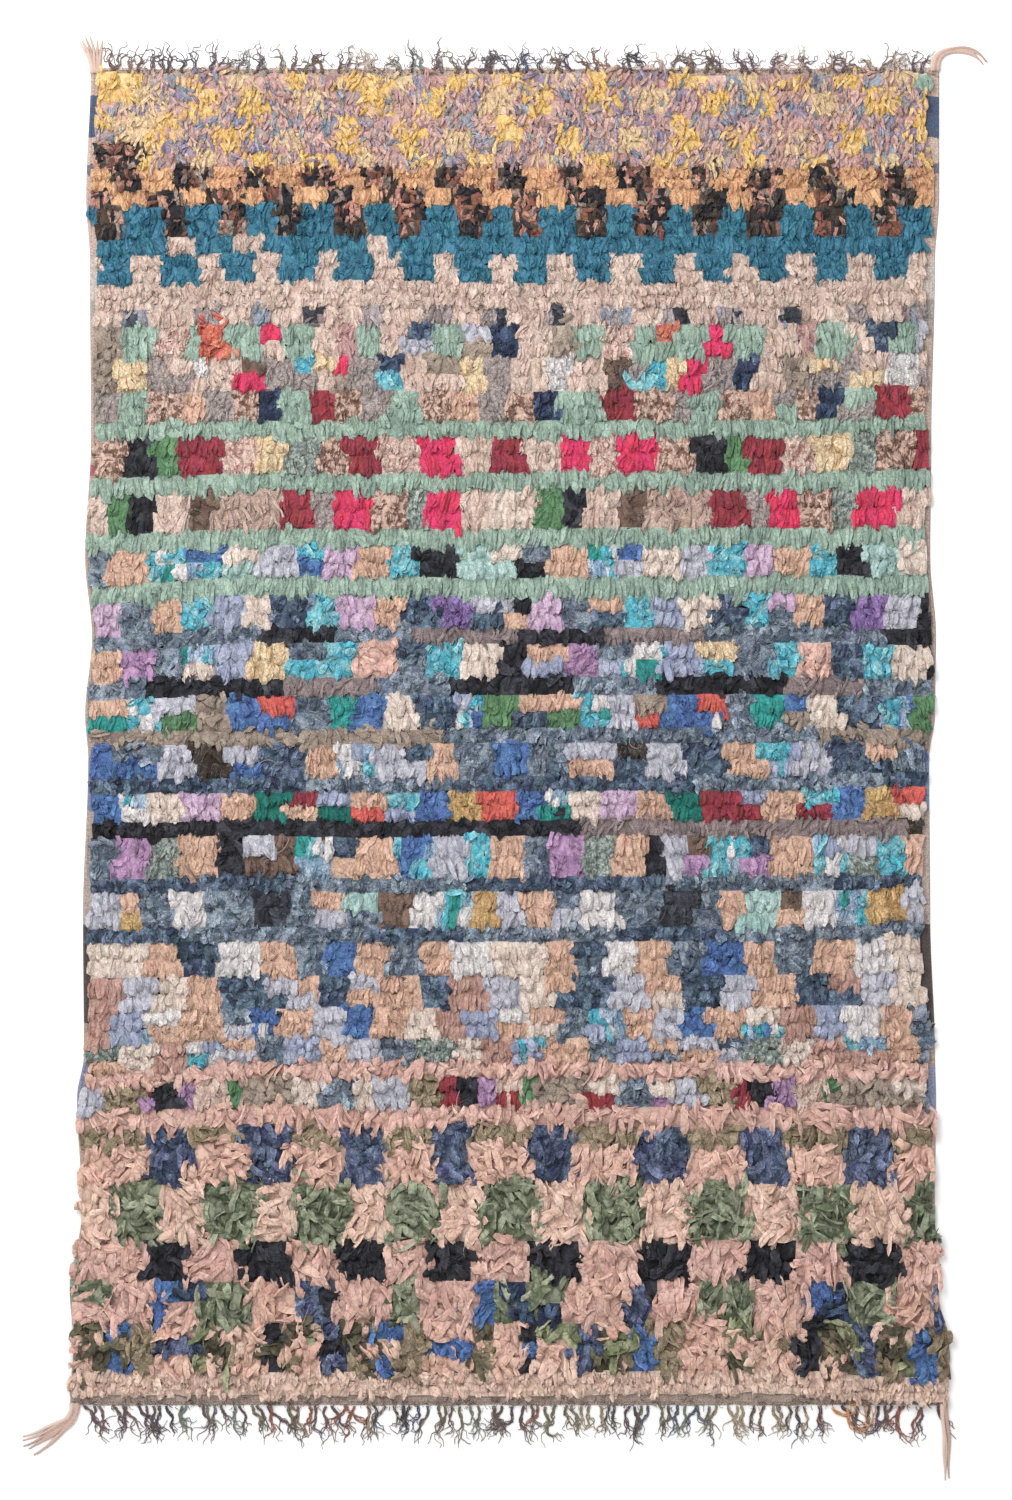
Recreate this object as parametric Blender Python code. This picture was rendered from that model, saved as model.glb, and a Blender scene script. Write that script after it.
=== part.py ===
"""Boucherouite rug: a rag pile knotted into a flat woven ground, lying flat on the floor.

Metres, +Z up. X runs across the rug, +Y towards the end with the short fringe. The origin is on
the floor, under the middle of the ground cloth, whose underside is the plane Z = 0.
"""

import math

import bmesh
import bpy
from mathutils import Vector, noise

MM = 0.001

# Ground cloth. It is a little wider at the end with the long fringe.
RUG_LENGTH = 2.520
GROUND_THICK = 3.0 * MM
GROUND_STEP = 60 * MM
GAP = 0.3 * MM

# The cloth's edges, as uneven as the real one: millimetres down from the short-fringe end,
# then millimetres out from the centre line to the left edge and to the right edge.
EDGE_STATIONS = (
    # down, left, right
    (0, 794, 809),
    (240, 803, 809),
    (360, 796, 801),
    (700, 794, 794),
    (920, 805, 792),
    (1070, 792, 803),
    (1220, 805, 801),
    (1300, 799, 790),
    (1600, 809, 792),
    (1860, 807, 801),
    (1940, 820, 803),
    (2150, 811, 801),
    (2320, 833, 809),
    (2400, 827, 828),
    (2520, 833, 826),
)

# Pile. The slab has one ridge for each row of knots, and a bare selvedge is left at its sides.
PILE_ROWS = 70
PILE_COLUMNS = 20
END_PARTS = 5
SELVEDGE = 22 * MM
PILE_HEIGHT = 17 * MM
RIM_HEIGHT = 12 * MM
RIDGE = 7 * MM
LUMP = 5 * MM
LUMP_SIZE = 110 * MM
KNOT_LUMP = 4 * MM
KNOT_SIZE = 24 * MM
COLUMN_WANDER = 14 * MM
ROW_WANDER = 5 * MM
END_LOCKS = (1, 3)
SIDE_LOCK_EVERY = 4
SIDE_LOCK_REACH = 15 * MM
END_LOCK_REACH = 16 * MM

# Flat woven ends, from which the warp hangs out as a fringe.
SHORT_WEB = 10 * MM
LONG_WEB = 20 * MM
CORNER_HEAD = 16 * MM
CORNER_CLEAR = 14 * MM
STRANDS_PER_END = 76
STRAND_WIDTH = 5.5 * MM
STRAND_STEPS = 3
SHORT_FRINGE = 38 * MM
LONG_FRINGE = 60 * MM
STRAND_LEAN = math.radians(26)
STRAND_SHIFT = 3 * MM
TIP_SHARE = 0.42

# Corner tassels, the loose ends of the selvedge cords. The bearing is in degrees from +X, for
# the middle strand, the spread is from the first strand to the last, and the curl is the
# bearing's change from root to tip.
TASSELS = (
    # node, end, side, strands, length mm, bearing, spread, curl
    ("corner_tassel_short_left", "short", "left", 5, 48, 98, 34, 8),
    ("corner_tassel_short_right", "short", "right", 3, 118, 52, 10, -105),
    ("corner_tassel_long_left", "long", "left", 5, 108, 220, 24, -12),
    ("corner_tassel_long_right", "long", "right", 3, 122, 277, 5, -7),
)
TASSEL_STEPS = 6

# Colour and roughness of each kind of piece.
FINISHES = {
    "ground": ((0.62, 0.47, 0.40), 0.95),
    "pile": ((0.45, 0.38, 0.38), 0.9),
    "fringe": ((0.22, 0.17, 0.17), 0.95),
    "tassel": ((0.68, 0.50, 0.43), 0.9),
}


def clear_scene():
    """Removes whatever the scene holds, so that only the rug's own pieces are in it."""
    for thing in list(bpy.data.objects):
        bpy.data.objects.remove(thing)


def finish(name):
    """The material of that name, made the first time it is asked for."""
    made = bpy.data.materials.get(name)
    if made:
        return made
    colour, roughness = FINISHES[name]
    made = bpy.data.materials.new(name)
    made.use_nodes = True
    shader = made.node_tree.nodes["Principled BSDF"]
    shader.inputs["Base Color"].default_value = (*colour, 1.0)
    shader.inputs["Roughness"].default_value = roughness
    shader.inputs["Metallic"].default_value = 0.0
    return made


def place(bm, name, material):
    """Makes a bmesh an object of the scene, with its faces pointing out."""
    bmesh.ops.recalc_face_normals(bm, faces=bm.faces)
    mesh = bpy.data.meshes.new(name)
    bm.to_mesh(mesh)
    bm.free()
    mesh.materials.append(finish(material))
    made = bpy.data.objects.new(name, mesh)
    bpy.context.scene.collection.objects.link(made)
    return made


def smooth_step(share):
    """0 to 1, level at both ends."""
    return share * share * (3 - 2 * share)


def uneven(x, y, size, seed=0.0):
    """A smooth unevenness from about -1 to 1, whose bumps are that size."""
    return noise.noise(Vector((x / size, y / size, 7.3 + seed)))


def edges_at(y):
    """X of the cloth's left and right edge at that Y."""
    down = min(max((RUG_LENGTH / 2 - y) / MM, 0), EDGE_STATIONS[-1][0])
    for upper, lower in zip(EDGE_STATIONS, EDGE_STATIONS[1:]):
        if down <= lower[0]:
            break
    share = smooth_step((down - upper[0]) / (lower[0] - upper[0]))
    left = upper[1] + (lower[1] - upper[1]) * share
    right = upper[2] + (lower[2] - upper[2]) * share
    return -left * MM, right * MM


def slab(bm, outline, low, high, skip=()):
    """Closes a flat slab over an outline of (x, y), and returns its low and high points.

    The walls that start at the numbered points in skip are left open, for a strand to grow from.
    """
    lower = [bm.verts.new((x, y, low)) for x, y in outline]
    upper = [bm.verts.new((x, y, high)) for x, y in outline]
    bm.faces.new(lower)
    bm.faces.new(upper)
    for i in range(len(outline)):
        if i not in skip:
            j = (i + 1) % len(outline)
            bm.faces.new((lower[i], lower[j], upper[j], upper[i]))
    return lower, upper


def grow(bm, root, rings):
    """Grows a four-sided lock from an open wall: root and each ring are 4 points in one order."""
    last = root
    for ring in rings:
        points = [bm.verts.new(at) for at in ring]
        for i in range(4):
            j = (i + 1) % 4
            bm.faces.new((last[i], last[j], points[j], points[i]))
        last = points
    bm.faces.new(last)


def floor_rings(start, width, high, bearing, length, curl, steps):
    """The rings of a strand that lies on the floor: it starts there and thins to its tip.

    Each ring is low first, low second, high second, high first, across the strand's way.
    """
    at = Vector(start)
    rings = []
    for step in range(steps):
        turned = bearing + curl * (step + 0.5) / steps
        way = Vector((math.cos(turned), math.sin(turned)))
        at = at + way * length / steps
        share = 1 - (1 - TIP_SHARE) * (step + 1) / steps
        across = Vector((way.y, -way.x)) * width * share / 2
        first, second = at - across, at + across
        rings.append(
            (
                (first.x, first.y, 0),
                (second.x, second.y, 0),
                (second.x, second.y, high * share),
                (first.x, first.y, high * share),
            )
        )
    return rings


def build_ground():
    """The woven ground with its selvedges, a thin flat cloth with the rug's own outline."""
    steps = round(RUG_LENGTH / GROUND_STEP)
    heights = [RUG_LENGTH / 2 - RUG_LENGTH * i / steps for i in range(steps + 1)]
    left = [(edges_at(y)[0], y) for y in heights]
    right = [(edges_at(y)[1], y) for y in reversed(heights)]
    bm = bmesh.new()
    slab(bm, left + right, 0, GROUND_THICK)
    place(bm, "ground_weave", "ground")


def pile_top(x, y, crest, near_rim):
    """How high the pile stands over its base at a point."""
    if near_rim:
        return RIM_HEIGHT + LUMP * 0.4 * uneven(x, y, LUMP_SIZE / 2)
    lumps = LUMP * uneven(x, y, LUMP_SIZE) + KNOT_LUMP * uneven(x, y, KNOT_SIZE, 4.1)
    return PILE_HEIGHT + RIDGE * (0.5 if crest else -0.5) + lumps


def pile_line(number, lines):
    """The places of one line across the pile, left to right. Its ends have more of them."""
    y = RUG_LENGTH / 2 - RUG_LENGTH * number / (lines - 1)
    left, right = edges_at(y)
    left, right = left + SELVEDGE, right - SELVEDGE
    at_end = number in (0, lines - 1)
    parts = PILE_COLUMNS * (END_PARTS if at_end else 1)
    found = []
    for i in range(parts + 1):
        x = left + (right - left) * i / parts
        at_rim = at_end or i in (0, parts)
        if not at_rim:
            x += COLUMN_WANDER * uneven(i * 3.7, number * 1.9, 1.0)
        wander = 0 if at_end else ROW_WANDER * uneven(x, y, 0.45, 9.0)
        crest = number % 2 == 1
        found.append((x, y + wander, pile_top(x, y, crest, at_rim)))
    return found


def zip_lines(bm, upper, lower):
    """Fills between two lines of points that may differ in number, as evenly as they allow."""
    i = j = 0
    while i < len(upper) - 1 or j < len(lower) - 1:
        ahead = (i + 1) / max(len(upper) - 1, 1)
        below = (j + 1) / max(len(lower) - 1, 1)
        if j == len(lower) - 1 or (i < len(upper) - 1 and ahead <= below + 1e-9):
            bm.faces.new((upper[i], lower[j], upper[i + 1]))
            i += 1
        else:
            bm.faces.new((upper[i], lower[j], lower[j + 1]))
            j += 1


def rim_rings(root, out, reach):
    """The rings of a pile lock that hangs out over the rim and thins towards its tip."""
    centre = sum((v.co for v in root), Vector()) / 4
    low = min(v.co.z for v in root)
    rings = []
    for share, size in ((0.55, 0.85), (1.0, 0.5)):
        ring = []
        for v in root:
            at = centre + (v.co - centre) * size + out * reach * share
            at.z = low + (v.co.z - low) * (1 - 0.55 * share)
            ring.append(at)
        rings.append(ring)
    return rings


def build_pile():
    """The rag pile: a lumpy slab with a ridge for each row of knots, and locks at its rim."""
    lines = 2 * PILE_ROWS + 1
    base = GROUND_THICK + GAP
    bm = bmesh.new()
    grid = []
    for number in range(lines):
        grid.append([bm.verts.new((x, y, base + up)) for x, y, up in pile_line(number, lines)])
    for upper, lower in zip(grid, grid[1:]):
        zip_lines(bm, upper, lower)
    right = [line[-1] for line in grid[1:-1]]
    left = [line[0] for line in reversed(grid[1:-1])]
    rim = grid[0] + right + grid[-1][::-1] + left
    feet = [bm.verts.new((v.co.x, v.co.y, base)) for v in rim]
    bm.faces.new(feet)
    ends = (
        (0, len(grid[0]) - 1, Vector((0, 1, 0))),
        (len(grid[0]) + len(right), len(grid[0]) - 1, Vector((0, -1, 0))),
    )
    locks = {}
    for start, count, out in ends:
        for i in range(count):
            if i % END_PARTS in END_LOCKS:
                locks[start + i] = (out, END_LOCK_REACH)
    for start, out in (
        (len(grid[0]), Vector((1, 0, 0))),
        (2 * len(grid[0]) + len(right), Vector((-1, 0, 0))),
    ):
        for i in range(0, len(right) - 1, SIDE_LOCK_EVERY):
            locks[start + i] = (out, SIDE_LOCK_REACH)
    for i, top in enumerate(rim):
        j = (i + 1) % len(rim)
        root = (feet[i], feet[j], rim[j], top)
        if i in locks:
            out, reach = locks[i]
            reach *= 1 + 0.3 * uneven(top.co.x, top.co.y, 0.05, 2.0)
            grow(bm, root, rim_rings(root, out, reach))
        else:
            bm.faces.new(root)
    place(bm, "pile", "pile")


def build_fringe(name, end, web, length):
    """One flat woven end with its warp strands, which lie apart on the floor."""
    inner = end * (RUG_LENGTH / 2 + GAP)
    outer = inner + end * web
    left, right = edges_at(inner)
    left, right = left + CORNER_HEAD + GAP, right - CORNER_HEAD - GAP
    pitch = (right - left - 2 * CORNER_CLEAR) / STRANDS_PER_END
    outline = [(right, inner), (left, inner), (left, outer)]
    roots = []
    for i in range(STRANDS_PER_END):
        middle = left + CORNER_CLEAR + pitch * (i + 0.5)
        middle += STRAND_SHIFT * uneven(i * 5.3, end, 1.0)
        roots.append((len(outline), middle))
        outline.append((middle - STRAND_WIDTH / 2, outer))
        outline.append((middle + STRAND_WIDTH / 2, outer))
    outline.append((right, outer))
    bm = bmesh.new()
    lower, upper = slab(bm, outline, 0, GROUND_THICK, skip=[r[0] for r in roots])
    for number, (i, middle) in enumerate(roots):
        root = (lower[i], lower[i + 1], upper[i + 1], upper[i])
        lean = STRAND_LEAN * uneven(middle, end, 0.06, 3.0)
        curl = STRAND_LEAN * uneven(number * 2.9, end, 1.0, 6.0)
        reach = length * (1 + 0.5 * uneven(number * 4.1, end, 1.0, 8.0))
        rings = floor_rings(
            (middle, outer),
            STRAND_WIDTH,
            GROUND_THICK,
            end * math.pi / 2 + lean,
            reach,
            curl,
            STRAND_STEPS,
        )
        if end < 0:
            rings = [(b, a, d, c) for a, b, c, d in rings]
        grow(bm, root, rings)
    place(bm, name, "fringe")


def build_tassel(name, end, side, strands, length, bearing, spread, curl):
    """A corner tassel: a small head at the end of the selvedge, with its loose cords."""
    sign = 1 if end == "short" else -1
    web = SHORT_WEB if end == "short" else LONG_WEB
    inner = sign * (RUG_LENGTH / 2 + GAP)
    outer = inner + sign * web
    edge_left, edge_right = edges_at(inner)
    start = edge_left if side == "left" else edge_right - CORNER_HEAD
    pitch = CORNER_HEAD / strands
    width = pitch * 0.78
    outline = [(start + CORNER_HEAD, inner), (start, inner)]
    roots = []
    for i in range(strands):
        middle = start + pitch * (i + 0.5)
        roots.append((len(outline), middle))
        outline.append((middle - width / 2, outer))
        outline.append((middle + width / 2, outer))
    bm = bmesh.new()
    lower, upper = slab(bm, outline, 0, GROUND_THICK, skip=[r[0] for r in roots])
    for number, (i, middle) in enumerate(roots):
        root = (lower[i], lower[i + 1], upper[i + 1], upper[i])
        fan = (number / (strands - 1) - 0.5) * -spread * sign
        rings = floor_rings(
            (middle, outer),
            width,
            GROUND_THICK,
            math.radians(bearing + fan),
            length * MM * (1 - 0.06 * (number % 2)),
            math.radians(curl),
            TASSEL_STEPS,
        )
        if sign < 0:
            rings = [(b, a, d, c) for a, b, c, d in rings]
        grow(bm, root, rings)
    place(bm, name, "tassel")


def main():
    """Builds the rug, piece by piece."""
    clear_scene()
    build_ground()
    build_pile()
    build_fringe("fringe_short", 1, SHORT_WEB, SHORT_FRINGE)
    build_fringe("fringe_long", -1, LONG_WEB, LONG_FRINGE)
    for row in TASSELS:
        build_tassel(*row)


main()
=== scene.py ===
"""A boucherouite rug, dressed: knotted rags on a flat woven ground, seen from straight above.

The rug lies in XY with its underside on Z = 0. X runs across it, +Y towards the short fringe.
"""

import logging
import math
from dataclasses import astuple, dataclass
from enum import Enum

import bpy
import numpy as np
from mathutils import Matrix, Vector


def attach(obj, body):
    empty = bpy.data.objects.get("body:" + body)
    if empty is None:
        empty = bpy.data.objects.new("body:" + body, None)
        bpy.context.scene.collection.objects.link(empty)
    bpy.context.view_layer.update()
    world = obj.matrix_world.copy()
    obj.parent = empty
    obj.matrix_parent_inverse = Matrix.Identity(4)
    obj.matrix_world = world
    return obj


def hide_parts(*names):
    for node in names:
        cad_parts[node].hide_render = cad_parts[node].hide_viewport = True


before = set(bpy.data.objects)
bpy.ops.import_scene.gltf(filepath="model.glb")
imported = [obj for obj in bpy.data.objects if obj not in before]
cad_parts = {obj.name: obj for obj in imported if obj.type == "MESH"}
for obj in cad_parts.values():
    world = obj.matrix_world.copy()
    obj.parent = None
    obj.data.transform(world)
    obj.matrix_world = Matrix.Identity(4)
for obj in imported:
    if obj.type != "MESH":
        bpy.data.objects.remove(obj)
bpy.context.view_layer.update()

LOG = logging.getLogger("rug")
Array = np.ndarray
Material = bpy.types.Material
Piece = bpy.types.Object
Random = np.random.Generator
Socket = bpy.types.NodeSocket
Stations = tuple[tuple[float, float, float], ...]

MM = 0.001
RUG_LENGTH = 2.520
GROUND_THICK = 3.0 * MM
SHORT_WEB = 10 * MM
LONG_WEB = 20 * MM
FLOOR_CLEAR = 0.1 * MM
# A wave texture turns this many times slower than a noise of the same scale.
WAVE_SLOW = 3.18
# This scale makes a wave texture turn about once in a unit.
WAVE_ONCE = 0.314
# How much of a tube's cell in the maps its sides take up, and where they start in it.
CELL_SPAN = (0.92, 0.80)
CELL_START = (0.04, 0.10)
# The girth and the length of a rag end, for patterns that follow it.
RAG_GIRTH_MM = 28
RAG_LONG_MM = 36

# The cloth's edges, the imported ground's own: how many mm down from the short fringe, then how
# many out from the middle to the left and to the right.
EDGE_STATIONS = (
    (0, 794, 809), (240, 803, 809), (360, 796, 801), (700, 794, 794), (920, 805, 792),
    (1070, 792, 803), (1220, 805, 801), (1300, 799, 790), (1600, 809, 792), (1860, 807, 801),
    (1940, 820, 803), (2150, 811, 801), (2320, 833, 809), (2400, 827, 828), (2520, 833, 826),
)


def ease(share: Array) -> Array:
    """Eases a share in and out."""
    return share * share * (3 - 2 * share)


def edges_at(y: Array | float) -> tuple[Array, Array]:
    """Where the cloth's side edges are.

    Args:
        y: Places along the rug, in metres.

    Returns:
        X of the left edge and of the right edge at each place, in metres.
    """
    table = np.array(EDGE_STATIONS, float)
    down = np.clip((RUG_LENGTH / 2 - np.asarray(y, float)) / MM, 0, table[-1, 0])
    upper = np.clip(np.searchsorted(table[:, 0], down, side="right") - 1, 0, len(table) - 2)
    share = ease((down - table[upper, 0]) / (table[upper + 1, 0] - table[upper, 0]))
    left = table[upper, 1] + (table[upper + 1, 1] - table[upper, 1]) * share
    right = table[upper, 2] + (table[upper + 1, 2] - table[upper, 2]) * share
    return -left * MM, right * MM


def sides_at(y: float) -> tuple[float, float]:
    """X of the left and the right edge at one place."""
    left, right = edges_at(y)
    return float(left), float(right)


def linear(shade: str) -> tuple[float, float, float, float]:
    """Turns an sRGB hex colour to linear.

    Args:
        shade: Such as "#DDBFAF".

    Returns:
        Red, green, blue and an alpha of 1.
    """
    parts = [int(shade[i : i + 2], 16) / 255 for i in (1, 3, 5)]
    parts = [p / 12.92 if p <= 0.04045 else ((p + 0.055) / 1.055) ** 2.4 for p in parts]
    return (*parts, 1.0)


def per_mm(size_mm: float) -> float:
    """The texture scale whose features are that many millimetres, in metre coordinates."""
    return 1.0 / (size_mm * MM)


class Fabric:
    """A matt fabric's material while its nodes are laid."""

    def __init__(self, name: str, roughness: float, sheen: float, specular: float) -> None:
        """Starts the material.

        Args:
            name: Its name.
            roughness: How matt it is.
            sheen: How much its fuzz catches the light.
            specular: How strong its highlights are.
        """
        self.made = bpy.data.materials.new(name)
        self.made.use_nodes = True
        self.tree = self.made.node_tree
        self.shader = self.tree.nodes["Principled BSDF"]
        self.shader.inputs["Roughness"].default_value = roughness
        self.shader.inputs["Sheen Weight"].default_value = sheen
        self.shader.inputs["Specular IOR Level"].default_value = specular
        self.place = self.add("TexCoord", out="Object")

    def add(
        self, kind: str, links: dict | None = None, values: dict | None = None,
        out: int | str = 0, **settings: object,
    ) -> Socket:
        """Adds one shader node.

        Args:
            kind: The node's type name after "ShaderNode".
            links: Input name or number to the output socket that feeds it.
            values: Input name or number to its own value.
            out: The output that is wanted.
            **settings: The node's properties.

        Returns:
            That output socket.
        """
        node = self.tree.nodes.new(f"ShaderNode{kind}")
        for name, value in settings.items():
            setattr(node, name, value)
        for name, value in (values or {}).items():
            node.inputs[name].default_value = value
        for name, source in (links or {}).items():
            self.tree.links.new(source, node.inputs[name])
        return node.outputs[out]

    def rags(self) -> tuple[Socket, Socket]:
        """What sets one rag apart from the next.

        Returns:
            The coordinates in the map named rag, and each rag's own random value.
        """
        rag = self.add("UVMap", uv_map="rag")
        cell = {"Vector": self.add("VectorMath", {0: rag}, operation="FLOOR")}
        return rag, self.add("TexWhiteNoise", cell, out="Value", noise_dimensions="2D")

    def finish(self, colour: Socket, relief: Socket) -> Material:
        """Joins the colour and the relief to the shader.

        Args:
            colour: The colour's socket.
            relief: The normal's socket.

        Returns:
            The finished material.
        """
        self.tree.links.new(colour, self.shader.inputs["Base Color"])
        self.tree.links.new(relief, self.shader.inputs["Normal"])
        return self.made


@dataclass(frozen=True)
class Cut:
    """How a sort of rag is cut and how its ends lie: millimetres, degrees and shares."""

    width: float
    thick: float
    reach: float
    loft: float
    yaw: float
    kink: float
    curl: float
    roll: float
    taper: float
    valley: float
    rough: float
    upward: float
    stray: float
    every: int


# Soft knitted strips gather into small crossing folds at their knots.
SOFT = Cut(13.5, 8.0, 1.00, 14.5, 17, 2.0, 22, 24, 0.85, 0.00, 1.9, 0.15, 3.0, 2)
# The same strips in a long stripe, pressed side by side into upright pleats.
PLEAT = Cut(16.0, 8.0, 1.18, 15.0, 10, 1.5, 14, 18, 0.92, -0.10, 1.5, 0.10, 2.6, 2)
# Thicker knitted strips puff into round bundles.
BUNDLE = Cut(15.5, 9.5, 1.00, 15.5, 16, 1.6, 18, 16, 0.72, 0.30, 1.6, 0.20, 3.0, 2)
# Stiff cloth crumples into lumps that point every way.
CRUMPLE = Cut(14.0, 9.0, 0.84, 14.5, 40, 2.4, 55, 45, 0.80, 0.10, 2.2, 0.35, 4.5, 2)
# Cut pieces lie crossed and on edge, with their pale cut edges showing.
BROAD = Cut(12.0, 2.6, 1.10, 16.5, 60, 1.2, 60, 56, 0.80, 0.10, 0.7, 0.45, 7.0, 1)
# Torn strips end in points, some towards either end of the rug.
RAGGED = Cut(12.5, 3.4, 1.00, 16.0, 46, 1.4, 40, 44, 0.45, 0.20, 0.8, 0.38, 5.5, 1)
# Shreds of worn cloth tangle in small bits.
SHRED = Cut(8.0, 5.0, 0.95, 15.5, 60, 2.2, 60, 50, 0.60, 0.35, 1.3, 0.45, 5.5, 1)
# Narrow slivers stand close, as in a finer pile.
SLIVER = Cut(6.2, 4.6, 1.05, 14.5, 30, 1.4, 34, 36, 0.60, 0.35, 0.9, 0.25, 7.0, 1)


@dataclass(frozen=True)
class Stuff:
    """A kind of cloth: what it is, how it was made and what its surface does with light."""

    real: str
    rib_mm: float
    rib_turn: float
    rib_depth_mm: float
    fold_mm: float
    fold_stretch: float
    fold_depth_mm: float
    # how much painted shade darkens the creases between the folds
    fold_shade: float
    # how much lighter the cut edges are drawn: partly their paler frayed threads, partly a painted
    # highlight
    pale_lit_edge: float
    roughness: float
    sheen: float


# Knitted cotton: fine wales along the strip, soft upright folds and no shine at all.
JERSEY = Stuff("cotton_jersey_knitted_and_cut", 1.6, 0, 0.1, 11, 1.6, 2.8, 0.38, 1.08, 0.92, 0.1)
# Cotton twill, washed: slanting ribs, small hard creases and a worn, chalky face.
DENIM = Stuff("cotton_twill_washed_and_torn", 1.5, 55, 0.12, 9, 1.1, 2.8, 0.62, 1.4, 0.88, 0.05)
# Plain woven cotton: nearly smooth, with crisp creases and cut edges that catch the light.
POPLIN = Stuff("cotton_poplin_woven_and_cut", 1.1, 90, 0.05, 11, 1.3, 3, 0.5, 1.3, 0.8, 0.05)
# Cotton sheeting, torn: broad smooth faces, few creases and pale torn edges.
SHEETING = Stuff(
    "cotton_sheeting_woven_and_torn", 1.1, 90, 0.05, 19, 1.3, 2.6, 0.34, 1.2, 0.85, 0.05)
# Filament lining, woven: smooth, so it keeps a faint gloss on its folds.
LINING = Stuff("rayon_lining_woven_and_cut", 0.9, 90, 0.03, 10, 1.4, 2.8, 0.42, 1.1, 0.55, 0)
# Brushed wool and acrylic: a fuzzy face whose folds are small and close.
WOOLLEN = Stuff("wool_blend_knitted_and_brushed", 2.2, 0, 0.25, 6.5, 1.3, 2, 0.46, 1, 0.97, 0.25)


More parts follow.
